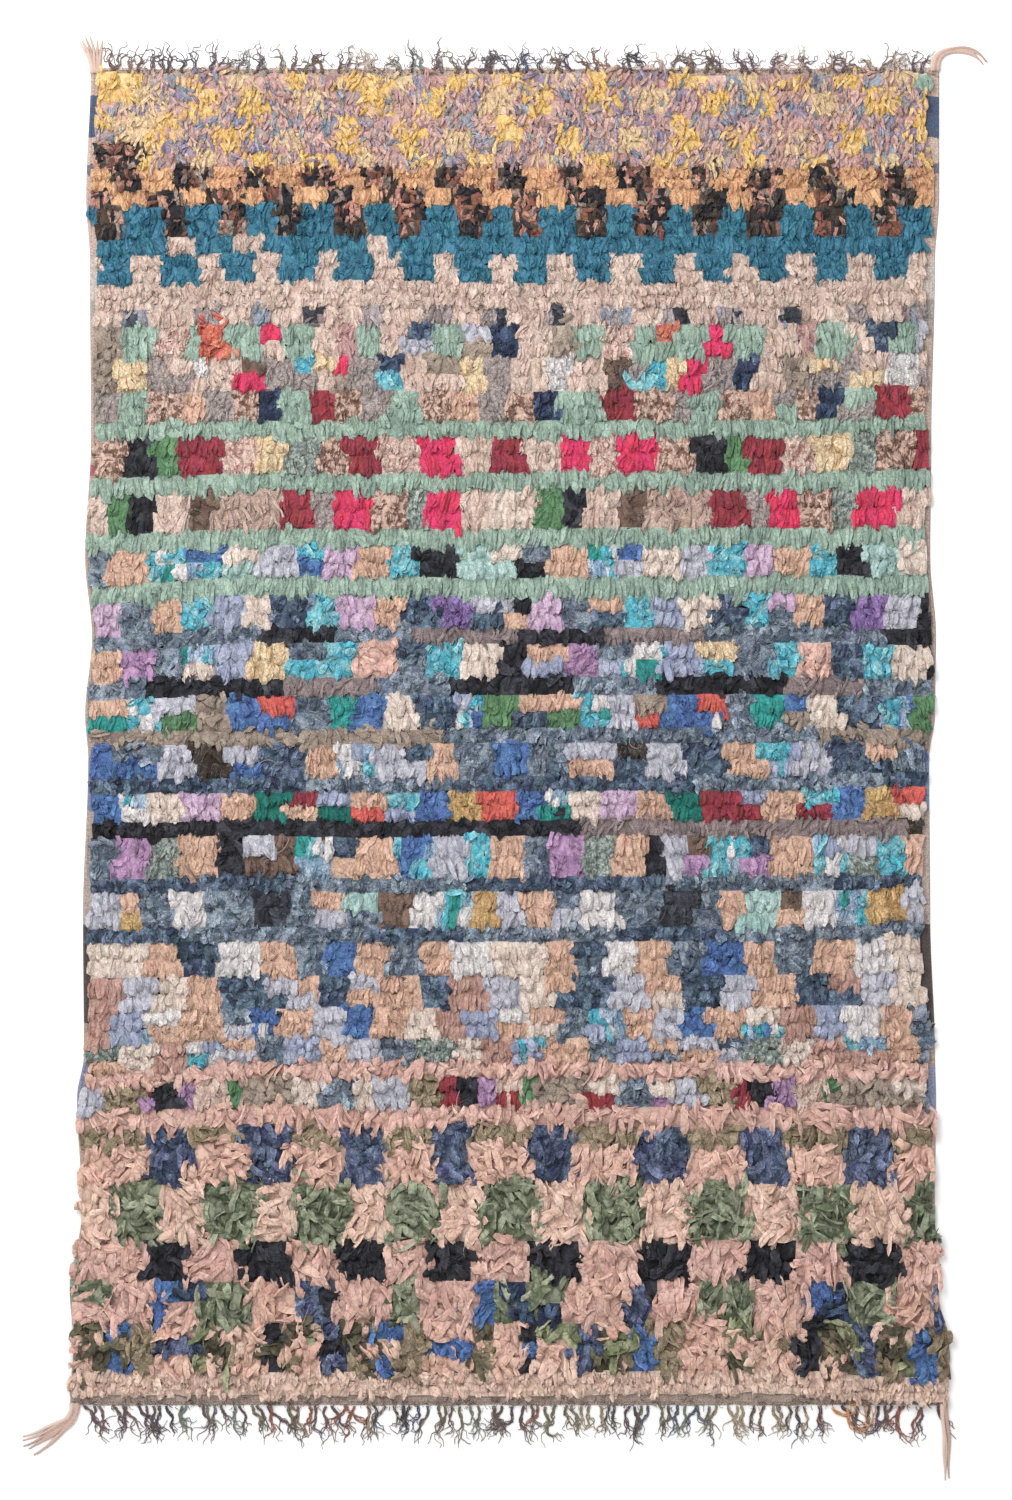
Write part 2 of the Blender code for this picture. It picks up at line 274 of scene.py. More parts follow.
@dataclass(frozen=True)
class Cloth:
    """One rag cloth: its stuff, how it is cut, its dye and the second shade that breaks it up."""

    name: str
    stuff: Stuff
    cut: Cut
    shade: str
    second: str
    share: float
    patch_mm: float
    crisp: float
    spread: float

    def material(self) -> Material:
        """The cloth's material, made the first time it is asked for.

        Returns:
            The material, named for the cloth and its dye.
        """
        name = f"{self.stuff.real}_{self.name}"
        if name in bpy.data.materials:
            return bpy.data.materials[name]
        fabric = Fabric(name, self.stuff.roughness, self.stuff.sheen, 0.25)
        rag, chance = fabric.rags()
        local = fabric.add("VectorMath", {0: rag}, operation="FRACTION")
        edge, lump = self.folds(fabric)
        return fabric.finish(
            self.colour(fabric, local, chance, edge), self.relief(fabric, local, lump))

    def folds(self, fabric: Fabric) -> tuple[Socket, Socket]:
        """The small folds that each rag is crumpled into.

        Args:
            fabric: The cloth's material.

        Returns:
            How near the crease between two folds is, 0 in it, and how high each fold bulges.
        """
        add = fabric.add
        bend = (10 * MM,) * 3
        coarse = {"Scale": per_mm(9), "Detail": 1}
        bent = add("TexNoise", {"Vector": fabric.place}, coarse, "Color")
        moved = add("VectorMath", {0: bent, 2: fabric.place}, {1: bend}, operation="MULTIPLY_ADD")
        drawn = add("Mapping", {"Vector": moved}, {"Scale": (1, 1 / self.stuff.fold_stretch, 1)})
        cells = {"Scale": per_mm(self.stuff.fold_mm)}
        edge = add("TexVoronoi", {"Vector": drawn}, cells, "Distance", feature="DISTANCE_TO_EDGE")
        near = add("MapRange", {"Value": edge}, {"From Max": 0.1})
        high = {"From Max": 0.5}
        return near, add("MapRange", {"Value": edge}, high, interpolation_type="SMOOTHERSTEP")

    def colour(self, fabric: Fabric, local: Socket, chance: Socket, edge: Socket) -> Socket:
        """Mixes the two shades in patches and lightens or darkens each rag a little, then paints
        shade towards the knot and in the creases and draws the cut edges lighter, partly for their
        paler threads and partly as a painted highlight.

        Args:
            fabric: The cloth's material.
            local: Coordinates on one rag, 0 to 1 around it and 0 to 1 from knot to tip.
            chance: Each rag's own random value.
            edge: How near the crease between two folds is, where painted shade darkens the cloth.

        Returns:
            The colour.
        """
        add, spread, own_sway = fabric.add, self.spread, 0.16
        grain = {"Scale": per_mm(self.patch_mm), "Detail": 2, "Roughness": 0.6}
        mottle = add("TexNoise", {"Vector": fabric.place}, grain, "Fac")
        if self.crisp < 0.5:
            own = add("MapRange", {"Value": chance}, {"To Min": -own_sway, "To Max": own_sway})
            mottle = add("Math", {0: mottle, 1: own}, operation="ADD")
        middle = 0.5 + (0.5 - self.share) * 0.36
        half = 0.16 * (1 - self.crisp) + 0.012
        edges = {"From Min": middle - half, "From Max": middle + half}
        mix = add("MapRange", {"Value": mottle}, edges)
        shades = {6: linear(self.shade), 7: linear(self.second)}
        dyed = add("Mix", {"Factor": mix}, shades, 2, data_type="RGBA")
        split = add("SeparateColor", {0: chance.node.outputs["Color"]}).node.outputs
        bright = {"To Min": 1 - spread * 1.3, "To Max": 1 + spread}
        turn = {"To Min": 0.5 - spread * 0.07, "To Max": 0.5 + spread * 0.07}
        value = add("MapRange", {"Value": split[1]}, bright)
        hue = add("MapRange", {"Value": split[2]}, turn)
        tinted = add("HueSaturation", {"Color": dyed, "Value": value, "Hue": hue})
        around, along, _ = add("SeparateXYZ", {0: local}).node.outputs
        # The cut edges are drawn lighter: partly their paler frayed threads, partly a painted
        # highlight.
        aside = add("Math", {0: around}, {1: 0.41}, operation="SUBTRACT")
        far = add("Math", {0: aside}, operation="ABSOLUTE")
        pale_lit_span = {"From Min": 0.26, "From Max": 0.34, "To Min": 1, "To Max": self.stuff.pale_lit_edge}
        pale_lit_edge = add("MapRange", {"Value": far}, pale_lit_span)
        # Painted shade: each rag is drawn darker towards its knot, where the row above shades it.
        root_shade = add("MapRange", {"Value": along}, {"From Max": 0.35, "To Min": 0.8, "To Max": 1})
        # Painted shade in the creases between the folds.
        dark = {"To Min": 1 - self.stuff.fold_shade, "To Max": 1.04}
        crease_shade = add("MapRange", {"Value": edge}, dark)
        shade_and_pale_edges = add("Math", {0: root_shade, 1: crease_shade}, operation="MULTIPLY")
        shade_and_pale_edges = add("Math", {0: shade_and_pale_edges, 1: pale_lit_edge}, operation="MULTIPLY")
        return add("HueSaturation", {"Color": tinted, "Value": shade_and_pale_edges})

    def relief(self, fabric: Fabric, local: Socket, lump: Socket) -> Socket:
        """The folds' relief, and the ribs of the knit or weave.

        The ribs are drawn two to three times as wide as real ones, so that they show.

        Args:
            fabric: The cloth's material.
            local: Coordinates on one rag.
            lump: How high each fold bulges.

        Returns:
            The normal.
        """
        add, stuff = fabric.add, self.stuff
        size = (RAG_GIRTH_MM, RAG_LONG_MM, 1)
        lie = {"Rotation": (0, 0, math.radians(stuff.rib_turn)), "Scale": size}
        turned = add("Mapping", {"Vector": local}, lie)
        wales = {"Scale": WAVE_ONCE / stuff.rib_mm, "Distortion": 1.2, "Detail": 1}
        rib = add("TexWave", {"Vector": turned}, wales, "Fac")
        depth = {1: stuff.rib_depth_mm / stuff.fold_depth_mm}
        high = add("Math", {0: rib, 2: lump}, depth, operation="MULTIPLY_ADD")
        return add("Bump", {"Height": high}, {"Strength": 1, "Distance": stuff.fold_depth_mm * MM})


# For each stuff and cut its cloths: name, shade, second shade, that one's share, the size of its
# patches in mm, their crispness, and how far single rags stray in tone.
CLOTH_ROWS = (
    (JERSEY, SOFT, "blush #D6C1B5 #C9AFA2 .25 60 0 .09; peach #D8B5A1 #C4A18B .3 50 0 .1;"
     "apricot #DDAF87 #CB9C78 .3 50 0 .09; crimson #9C3E4A #883640 .3 40 0 .11;"
     "magenta #DB4269 #C83D60 .3 40 0 .09; coral #D2695F #C05A55 .3 30 0 .1;"
     "leaf #678F68 #557B57 .35 25 0 .13; emerald #237F73 #1F6B62 .3 25 0 .1;"
     "teal #3BA097 #2F8A87 .35 22 0 .1; leopard #CDB0A1 #7F6053 .44 13 .85 .06"),
    (WOOLLEN, SLIVER, "blush_rib #CBB2A5 #AC8B7E .35 9 0 .16; mauve #9C8B8A #7E706F .45 14 0 .18;"
     "melange #B3A5A0 #857B7B .45 6 .5 .12"),
    (POPLIN, SOFT, "blush_print #D2BBAF #B57D77 .3 9 .8 .1; gold #CCAC7B #BB9668 .3 30 0 .09;"
     "sky #87A5BD #B3C0CE .4 22 .2 .1; grey_floral #A5ACA5 #6F7B76 .46 9 .8 .12;"
     "white_lace #DAD4D1 #B3B3B6 .35 7 .7 .08"),
    (SHEETING, RAGGED, "salmon #D3AFA4 #C0998C .35 45 0 .11; pink #D6B2A3 #C59E8E .3 50 0 .1;"
     "blush_torn #DABCAC #CBA998 .3 40 0 .1"),
    (JERSEY, PLEAT, "dusty_rose #C09C91 #AB8478 .3 40 0 .1; mint #A2B7A9 #8FA497 .35 50 0 .09"),
    (JERSEY, BUNDLE, "cream #DBCCC1 #CDBBAF .25 40 0 .06; off_white #DDD8D6 #C6C1C2 .3 30 0 .07;"
     "aqua #B0C8C3 #92B2AE .35 22 .1 .08; lavender #C1C0C9 #AAA9B6 .35 26 0 .08;"
     "periwinkle #A9AFC3 #8D94AF .35 24 0 .1; lilac #CBB2C7 #B596B4 .35 22 0 .09"),
    (POPLIN, BUNDLE, "butter #DECAAA #D2B38C .35 22 0 .08"),
    (JERSEY, SLIVER, "yellow #E0B96E #E9C892 .35 22 .2 .06; vanilla #D8BF98 #DDBF9E .35 22 0 .06;"
     "mauve_pink #C19C96 #B7918F .4 14 0 .13; pale_pink #D0AFA4 #CBA398 .35 14 0 .1"),
    (LINING, BROAD, "red_orange #C25F54 #D48A72 .35 14 .4 .12"),
    (LINING, SOFT, "cerulean #457E95 #3A6C81 .3 30 0 .12"),
    (POPLIN, CRUMPLE, "royal #5E7EB2 #4B699A .35 20 0 .14; black #3F3F47 #1C1C22 .45 16 0 .34;"
     "turquoise #55AEC0 #8FC0C6 .4 14 .3 .14"),
    (DENIM, CRUMPLE, "slate #98A3B0 #5C697A .5 17 .2 .26; denim #74859A #3D4B60 .5 17 .2 .3;"
     "blue_denim #7B86A2 #404A67 .5 17 .2 .3; navy #4B5A74 #2C3750 .5 17 .1 .28;"
     "charcoal #4F525B #35373F .5 17 0 .25"),
    (POPLIN, SHRED, "shred_black #35333A #1C1B20 .4 12 0 .28;"
     "shred_taupe #A4948A #7D6E66 .4 12 0 .16; shred_rose #C79888 #AC7A6B .4 12 0 .14"),
    (WOOLLEN, SHRED, "shred_brown #4E4038 #33281F .4 12 0 .22;"
     "shred_rust #96604F #74463A .4 12 0 .18"),
    (WOOLLEN, CRUMPLE, "dark_brown #463A33 #2F251E .4 16 0 .22;"
     "brown #80675B #634D42 .4 18 0 .18"),
    (SHEETING, SOFT, "blush_end #DEC4B5 #CFB4A5 .3 40 0 .1"),
    (WOOLLEN, RAGGED, "taupe #AD9C8E #8E7E72 .4 20 0 .15"),
    (SHEETING, BROAD, "sage #999E87 #5B634D .45 16 .3 .24; moss #9A9D7F #676E4F .45 16 .3 .2;"
     "fleck #6B6552 #4A4638 .45 14 .2 .25"),
    (POPLIN, RAGGED, "olive #A3947C #7E6F59 .4 20 0 .15"),
    (LINING, CRUMPLE, "purple #9379AD #745E8F .35 18 0 .14"),
    (JERSEY, CRUMPLE, "orchid #B994B7 #9B7AA0 .35 18 0 .14"),
    (POPLIN, SLIVER, "violet #A595A9 #887A92 .4 14 0 .14; steel #9FA6B2 #808A9B .4 14 0 .14;"
     "dove #B2A5A4 #9A9091 .4 12 0 .13"),
)
CLOTHS = {
    name: Cloth(name, stuff, cut, shade, second, *map(float, sizes))
    for stuff, cut, rows in CLOTH_ROWS
    for name, shade, second, *sizes in map(str.split, rows.split(";"))
}

# Where a knot's rags are of many cloths, each end is drawn from one of these.
MIXES = {
    "dark_rags": (
        "shred_black shred_brown shred_rust shred_black shred_taupe shred_brown shred_rose"),
    "grey_rags": "melange steel dove mauve melange charcoal dove",
    "teal_rags": "teal turquoise off_white sky turquoise",
    "speckle": "pale_pink mauve_pink pale_pink dove pale_pink steel mauve_pink violet pale_pink",
    "sunny": "yellow yellow vanilla",
    "fleck_rags": "fleck olive pink fleck moss fleck blush_torn",
    "sea": "royal periwinkle off_white turquoise sky",
}


class Layout(Enum):
    """How a band's cloths are set out."""

    RUNS = "long runs of one cloth, as in a stripe"
    BLOCKS = "blocks side by side, each held through the band's rows"
    PATCHES = "blocks of which many change from row to row"
    SCATTER = "a new cloth at every knot, with spots of others"


@dataclass(frozen=True)
class Band:
    """One band across the rug: height in mm, rows of knots, layout, the repeat of its cloths."""

    height: float
    rows: int
    layout: Layout
    repeat: str
    block: float = 60.0
    shag: float = 0.0
    spots: str = ""
    phase: float = 0.0
    left_cloth: str = ""
    left_width: float = 0.0
    right_cloth: str = ""
    right_width: float = 0.0
    pitch: float = 6.5
    change: float = 0.28
    widen: float = 0.0
    uneven: float = 0.0

    def blocks(self, left: float, right: float, rng: Random) -> list[tuple[float, str]]:
        """Sets the repeat's cloths out from left to right until the band is full.

        Args:
            left: Where the pile starts, in metres.
            right: Where it ends.
            rng: The pile's random generator.

        Returns:
            Each block's start and its cloth or mix, from left to right.
        """
        at, found, words = left - self.phase * self.block * MM, [], self.repeat.split()
        held = self.layout is Layout.BLOCKS
        while at < right:
            number = len(found)
            cloth, _, size = words[number % len(words)].partition("*")
            found.append((at, cloth))
            wide = self.block * float(size or 1) * MM
            wide *= 1 + self.widen * ((at - left) / (right - left) - 0.5)
            sway = 0.08 * math.sin(1.7 * (number // 2)) if held else rng.uniform(-0.2, 0.2)
            at += wide * (1 + sway)
        return found


RUNS, BLOCKS, PATCHES, SCATTER = Layout
# Short repeats charted from the short fringe down. A number after a cloth is how many
# of the band's blocks wide it is.
BANDS = {
    "rag_pile_speckled_end": (
        Band(26, 1, SCATTER, "speckle",
             spots="sunny", pitch=4.7, right_cloth="mint", right_width=24, uneven=4),
        Band(100, 4, SCATTER, "speckle", spots="sunny", pitch=4.7),
        Band(50, 2, SCATTER, "speckle",
             spots="sunny", pitch=4.7, left_cloth="dark_rags", left_width=80),
        Band(40, 2, BLOCKS, "apricot*1.05 dark_rags*0.95", 60, phase=0.3),
        Band(32, 1, BLOCKS, "apricot*0.95 dark_rags*1.05", 58, phase=1.2),
    ),
    "rag_pile_battlement": (
        Band(60, 2, BLOCKS, "cerulean*1.02 dark_rags*0.98", 56, phase=0.60),
        Band(32, 1, BLOCKS, "cerulean*2.6 blush cerulean*1.2 blush cerulean*3.4 blush cerulean*20",
             56),
        Band(52, 2, BLOCKS, "blush*0.85 cerulean*1.15", 56, phase=0.50),
        Band(49, 2, RUNS, "blush", 300),
        Band(32, 1, BLOCKS, "blush*1.2 grey_rags*0.8", 56),
        Band(60, 2, PATCHES, "taupe mint blush_print mint*0.9 red_orange*0.8 mint magenta*0.9 "
             "mint*1.2 blush mauve_pink*0.8 mint blush denim*0.8 mint lavender navy*0.9 blush",
             52),
        Band(65, 2, PATCHES, "taupe butter*0.8 melange blush white_lace blush*1.2 brown*0.8 "
             "melange turquoise*0.7 butter*0.8 magenta*0.8 melange navy*0.9 blush", 50),
    ),
    "rag_pile_mint_bands": (
        Band(57, 2, PATCHES, "melange mint leopard*1.2 peach melange leopard navy*0.8 mint*1.5 "
             "crimson leopard*1.2", 50),
        Band(28, 1, RUNS, "mint", 300),
        Band(71, 2, BLOCKS, "leopard black*0.9 leaf*0.7 crimson blush_print butter "
             "grey_floral*0.8 leopard crimson blush_print magenta blush*0.9 crimson blush "
             "magenta*0.9 blush_print magenta*0.9", 66),
        Band(30, 1, RUNS, "mint", 300),
        Band(76, 2, BLOCKS, "blush*0.6 leaf*0.7 black*0.6 blush brown*0.7 blush_rib*2 crimson "
             "melange*0.7 magenta leopard grey_floral*0.6 magenta blush cream*0.8", 64),
        Band(32, 1, RUNS, "mint", 300),
        Band(60, 2, PATCHES, "slate peach teal_rags royal cream lavender turquoise lilac peach "
             "turquoise black aqua cream", 62),
        Band(34, 1, RUNS, "mint", 300),
        Band(63, 2, PATCHES, "lilac slate peach turquoise periwinkle cream denim turquoise lilac "
             "peach denim purple lavender black*0.7", 58),
        Band(28, 1, RUNS, "slate*2.2 black slate mauve*1.2 black mauve*1.4", 150),
    ),
    "rag_pile_denim_bands": (
        Band(67, 2, PATCHES, "peach orchid slate teal_rags periwinkle butter slate turquoise "
             "salmon denim turquoise cream black", 62),
        Band(34, 1, RUNS, "slate black*1.4 mauve slate*0.8 black*1.6", 150),
        Band(64, 2, PATCHES, "peach teal_rags lavender taupe royal*1.2 coral slate teal*0.8 royal "
             "cream*0.8 denim sea leaf*0.7 peach", 62),
        Band(28, 1, RUNS, "taupe*5 slate*4", 160),
        Band(63, 2, PATCHES, "royal slate lavender*1.3 dark_brown lavender denim peach sea "
             "lavender denim peach slate", 64),
        Band(28, 1, RUNS, "denim*2 slate*2", 180),
        Band(53, 2, PATCHES, "royal teal_rags cream lilac peach emerald crimson periwinkle peach "
             "turquoise royal gold coral", 60),
        Band(30, 1, RUNS, "black*5 mauve*4 dark_brown", 165),
        Band(78, 2, PATCHES, "slate orchid grey_floral peach black*0.7 lavender brown*0.8 "
             "teal_rags denim peach sea lavender turquoise peach", 60),
        Band(26, 1, RUNS, "denim*2 slate*2", 180),
        Band(69, 2, PATCHES, "lavender peach slate off_white slate*1.4 charcoal slate peach aqua "
             "brown off_white teal_rags gold", 58),
        Band(27, 1, RUNS, "denim slate*2", 180),
    ),
    "rag_pile_pale_patches": (
        Band(65, 2, PATCHES, "cream*1.6 peach denim off_white peach slate royal peach slate peach "
             "off_white", 66),
        Band(60, 2, PATCHES, "dusty_rose lavender cream peach denim lavender peach denim lavender "
             "peach denim", 64),
        Band(58, 2, PATCHES, "dusty_rose periwinkle off_white peach slate sea peach lavender "
             "royal*0.7 peach cream", 62),
        Band(44, 2, PATCHES, "grey_floral cream dusty_rose sea peach slate periwinkle peach "
             "lavender slate", 62),
        Band(32, 1, RUNS, "salmon", 300, shag=0.5),
        Band(53, 2, PATCHES, "lavender olive crimson*0.5 black*0.8 orchid*0.6 blush leaf*0.5 "
             "taupe*1.6 cream slate cream", 56, shag=0.3),
        Band(40, 1, RUNS, "salmon", 300, shag=0.6),
        Band(32, 1, BLOCKS, "olive*1.1 blue_denim*0.9", 95, shag=0.4, phase=-0.53, widen=0.3),
    ),
    "rag_pile_shaggy_end": (
        Band(74, 2, BLOCKS, "pink*1.1 blue_denim*0.9", 95, shag=0.5, phase=-0.53, widen=0.3),
        Band(109, 3, BLOCKS, "blush_torn*0.92 sage*1.08", 95, shag=0.6, phase=0.14, widen=0.3),
        Band(76, 2, BLOCKS, "salmon*0.97 black*1.03", 96, shag=0.6, phase=-0.43, widen=0.25),
        Band(81, 2, PATCHES, "sage salmon*1.2 royal*0.5 navy*0.6 sage pink*1.3 blue_denim*0.6 "
             "black*0.4 salmon", 78, shag=0.7, change=0.5),
        Band(95, 3, PATCHES, "fleck_rags royal*0.6 olive*0.7 pink*1.3 fleck_rags pink black*0.5 "
             "fleck_rags blue_denim*0.6", 66, shag=0.7, change=0.5),
        Band(42, 2, RUNS, "blush_end", 300, shag=0.1),
    ),
}


def tube_object(name: str, rings: Array, slots: Array, materials: list[Material]) -> Piece:
    """Makes one mesh of many closed tubes, each from its rings of points.

    Every tube has a cell of its own in the maps. In the map named rag, the whole part of the
    coordinates says which tube it is, and the rest runs around it and from its root to its tip.

    Args:
        name: The object's name.
        rings: Points, as tubes by rings by points by 3, anticlockwise seen from the tip.
        slots: The number of each tube's material.
        materials: The object's materials.

    Returns:
        The object, linked to the scene.
    """
    count, steps, sides = rings.shape[:3]
    quads, quad_map = [], []
    for j in range(steps - 1):
        for i in range(sides):
            low, high, after = j * sides, (j + 1) * sides, (i + 1) % sides
            quads += [low + i, low + after, high + after, high + i]
            quad_map += [(i, j), (i + 1, j), (i + 1, j + 1), (i, j + 1)]
    side_map = np.array(quad_map) / (sides, steps - 1) * CELL_SPAN + CELL_START
    turn = 2 * np.pi * np.arange(sides) / sides
    cap = np.stack([0.5 + 0.42 * np.cos(turn), 0.03 * np.sin(turn)], 1)
    around = np.arange(sides)
    corners = np.concatenate([quads, around[::-1], (steps - 1) * sides + around])
    local = np.concatenate([side_map, cap + (0, 0.045), cap + (0, 0.955)])
    faces = (steps - 1) * sides
    totals = np.array([4] * faces + [sides, sides])
    smooth = np.array([True] * faces + [False, False])

    mesh = bpy.data.meshes.new(name)
    mesh.vertices.add(count * steps * sides)
    mesh.vertices.foreach_set("co", rings.astype(np.float32).ravel())
    mesh.loops.add(count * len(corners))
    shift = np.arange(count)[:, None] * steps * sides
    mesh.loops.foreach_set("vertex_index", (corners[None] + shift).astype(np.int32).ravel())
    starts = np.concatenate([[0], np.cumsum(np.tile(totals, count))[:-1]])
    mesh.polygons.add(len(starts))
    mesh.polygons.foreach_set("loop_start", starts.astype(np.int32))
    mesh.polygons.foreach_set("use_smooth", np.tile(smooth, count))
    mesh.polygons.foreach_set("material_index", np.repeat(slots, len(totals)).astype(np.int32))
    grid = math.ceil(math.sqrt(count))
    cell = np.stack([np.arange(count) % grid, np.arange(count) // grid], 1).astype(float)
    spread = cell[:, None] + local[None]
    span = np.array([grid, math.ceil(count / grid)], float)
    for label, places in (("OFBake", spread / span), ("rag", spread)):
        layer = mesh.uv_layers.new(name=label)
        layer.uv.foreach_set("vector", places.astype(np.float32).ravel())
    for material in materials:
        mesh.materials.append(material)
    mesh.update(calc_edges=True)
    made = bpy.data.objects.new(name, mesh)
    bpy.context.scene.collection.objects.link(made)
    return made


def dyed_tubes(name: str, rings: Array, names: list[str], table: dict) -> Piece:
    """Makes tubes that are each of their own cloth or yarn.

    Args:
        name: The object's name.
        rings: The tubes' rings.
        names: The cloth or yarn of each tube.
        table: All cloths or yarns by name.

    Returns:
        The object.
    """
    used = sorted(set(names))
    slots = np.array([used.index(each) for each in names])
    LOG.info("%s: %d tubes of %d kinds", name, len(names), len(used))
    return tube_object(name, rings, slots, [table[each].material() for each in used])


def sweep(path: Array, wide: Array, high: Array, roll: Array, profile: Array) -> Array:
    """Sweeps a profile along many paths at once.

    Args:
        path: Points, as paths by steps by 3.
        wide: The profile's width at each step.
        high: Its height at each step.
        roll: How far it is turned about the path at each step, in radians.
        profile: Its points for each path, across and up, anticlockwise, within half a unit.

    Returns:
        The rings, as paths by steps by points by 3.
    """
    way = np.gradient(path, axis=1)
    way /= np.maximum(np.linalg.norm(way, axis=2, keepdims=True), 1e-9)
    level = np.stack([-way[..., 1], way[..., 0], np.zeros_like(way[..., 0])], 2)
    level /= np.maximum(np.linalg.norm(level, axis=2, keepdims=True), 1e-9)
    up = np.cross(way, level)
    turn = roll[..., None]
    side = level * np.cos(turn) + up * np.sin(turn)
    over = np.cross(way, side)
    across = profile[:, None, :, 0, None] * wide[..., None, None]
    above = profile[:, None, :, 1, None] * high[..., None, None]
    return path[:, :, None] + side[:, :, None] * across + over[:, :, None] * above


def round_profile(count: int, sides: int, start: float = 0.0) -> Array:
    """A round profile for each of some tubes, whose first point is that share of a turn on."""
    turn = 2 * np.pi * (np.arange(sides) / sides + start)
    return np.tile(0.5 * np.stack([np.cos(turn), np.sin(turn)], 1), (count, 1, 1))


def cords(path: Array, girth: Array, sides: int = 3, flat: float = 1.0) -> Array:
    """Sweeps a round cord along each path, above the floor.

    Args:
        path: Points, as paths by steps by 3.
        girth: The cords' thickness at each step.
        sides: How many sides a cord has.
        flat: Its height as a share of its width.

    Returns:
        The rings.
    """
    profile = round_profile(len(path), sides)
    rings = sweep(path, girth, girth * flat, np.zeros_like(girth), profile)
    rings[..., 2] = np.maximum(rings[..., 2], FLOOR_CLEAR)
    return rings


def walk(x: Array, y: Array | float, at: Array, ahead: Array) -> Array:
    """Lays paths out flat, step by step.

    Args:
        x: Where each path starts across the rug.
        y: Where it starts along it.
        at: The bearing of each step, in radians.
        ahead: Its length.

    Returns:
        Points at Z = 0, as paths by steps by 3.
    """
    across, along = np.cumsum(np.cos(at), 1) * ahead, np.cumsum(np.sin(at), 1) * ahead
    path = [np.reshape(x, (-1, 1)) + across, np.reshape(y, (-1, 1)) + along]
    return np.stack([*path, np.zeros_like(across)], 2)


def drift(x: Array, y: Array, size: float, seed: int) -> Array:
    """Smooth noise over the rug, by which neighbouring rags lie alike.

    Args:
        x: Places across the rug, in metres.
        y: Places along it.
        size: How far apart its own random values stand.
        seed: Which noise it is.

    Returns:
        Values spread about 0, mostly within 1.
    """
    cells, beyond = 64, 512
    table = np.random.default_rng(seed).normal(0, 0.8, (cells, cells))
    at_x, at_y = np.asarray(x) / size + beyond, np.asarray(y) / size + beyond
    low_x, low_y = np.floor(at_x).astype(int), np.floor(at_y).astype(int)
    share_x, share_y = ease(at_x - low_x), ease(at_y - low_y)
    near, far = (
        table[line % cells, low_x % cells] * (1 - share_x)
        + table[line % cells, (low_x + 1) % cells] * share_x
        for line in (low_y, low_y + 1)
    )
    return near * (1 - share_y) + far * share_y


class Part:
    """A sub-assembly whose pieces ride on the rug's one body."""

    node: str
    slot: str

    def dress(self, pieces: list[Piece]) -> None:
        """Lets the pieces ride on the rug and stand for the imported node, and reports them.

        Args:
            pieces: What build has made.
        """
        for piece in pieces:
            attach(piece, "root")
            if self.node:
                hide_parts(self.node)
            LOG.info("%s: %d faces", piece.name, len(piece.data.polygons))


@dataclass
class Row:
    """A row of knots: its band and blocks, its number in the band, Y of its middle, its height."""

    band: Band
    blocks: list[tuple[float, str]]
    number: int
    middle: float
    tall: float


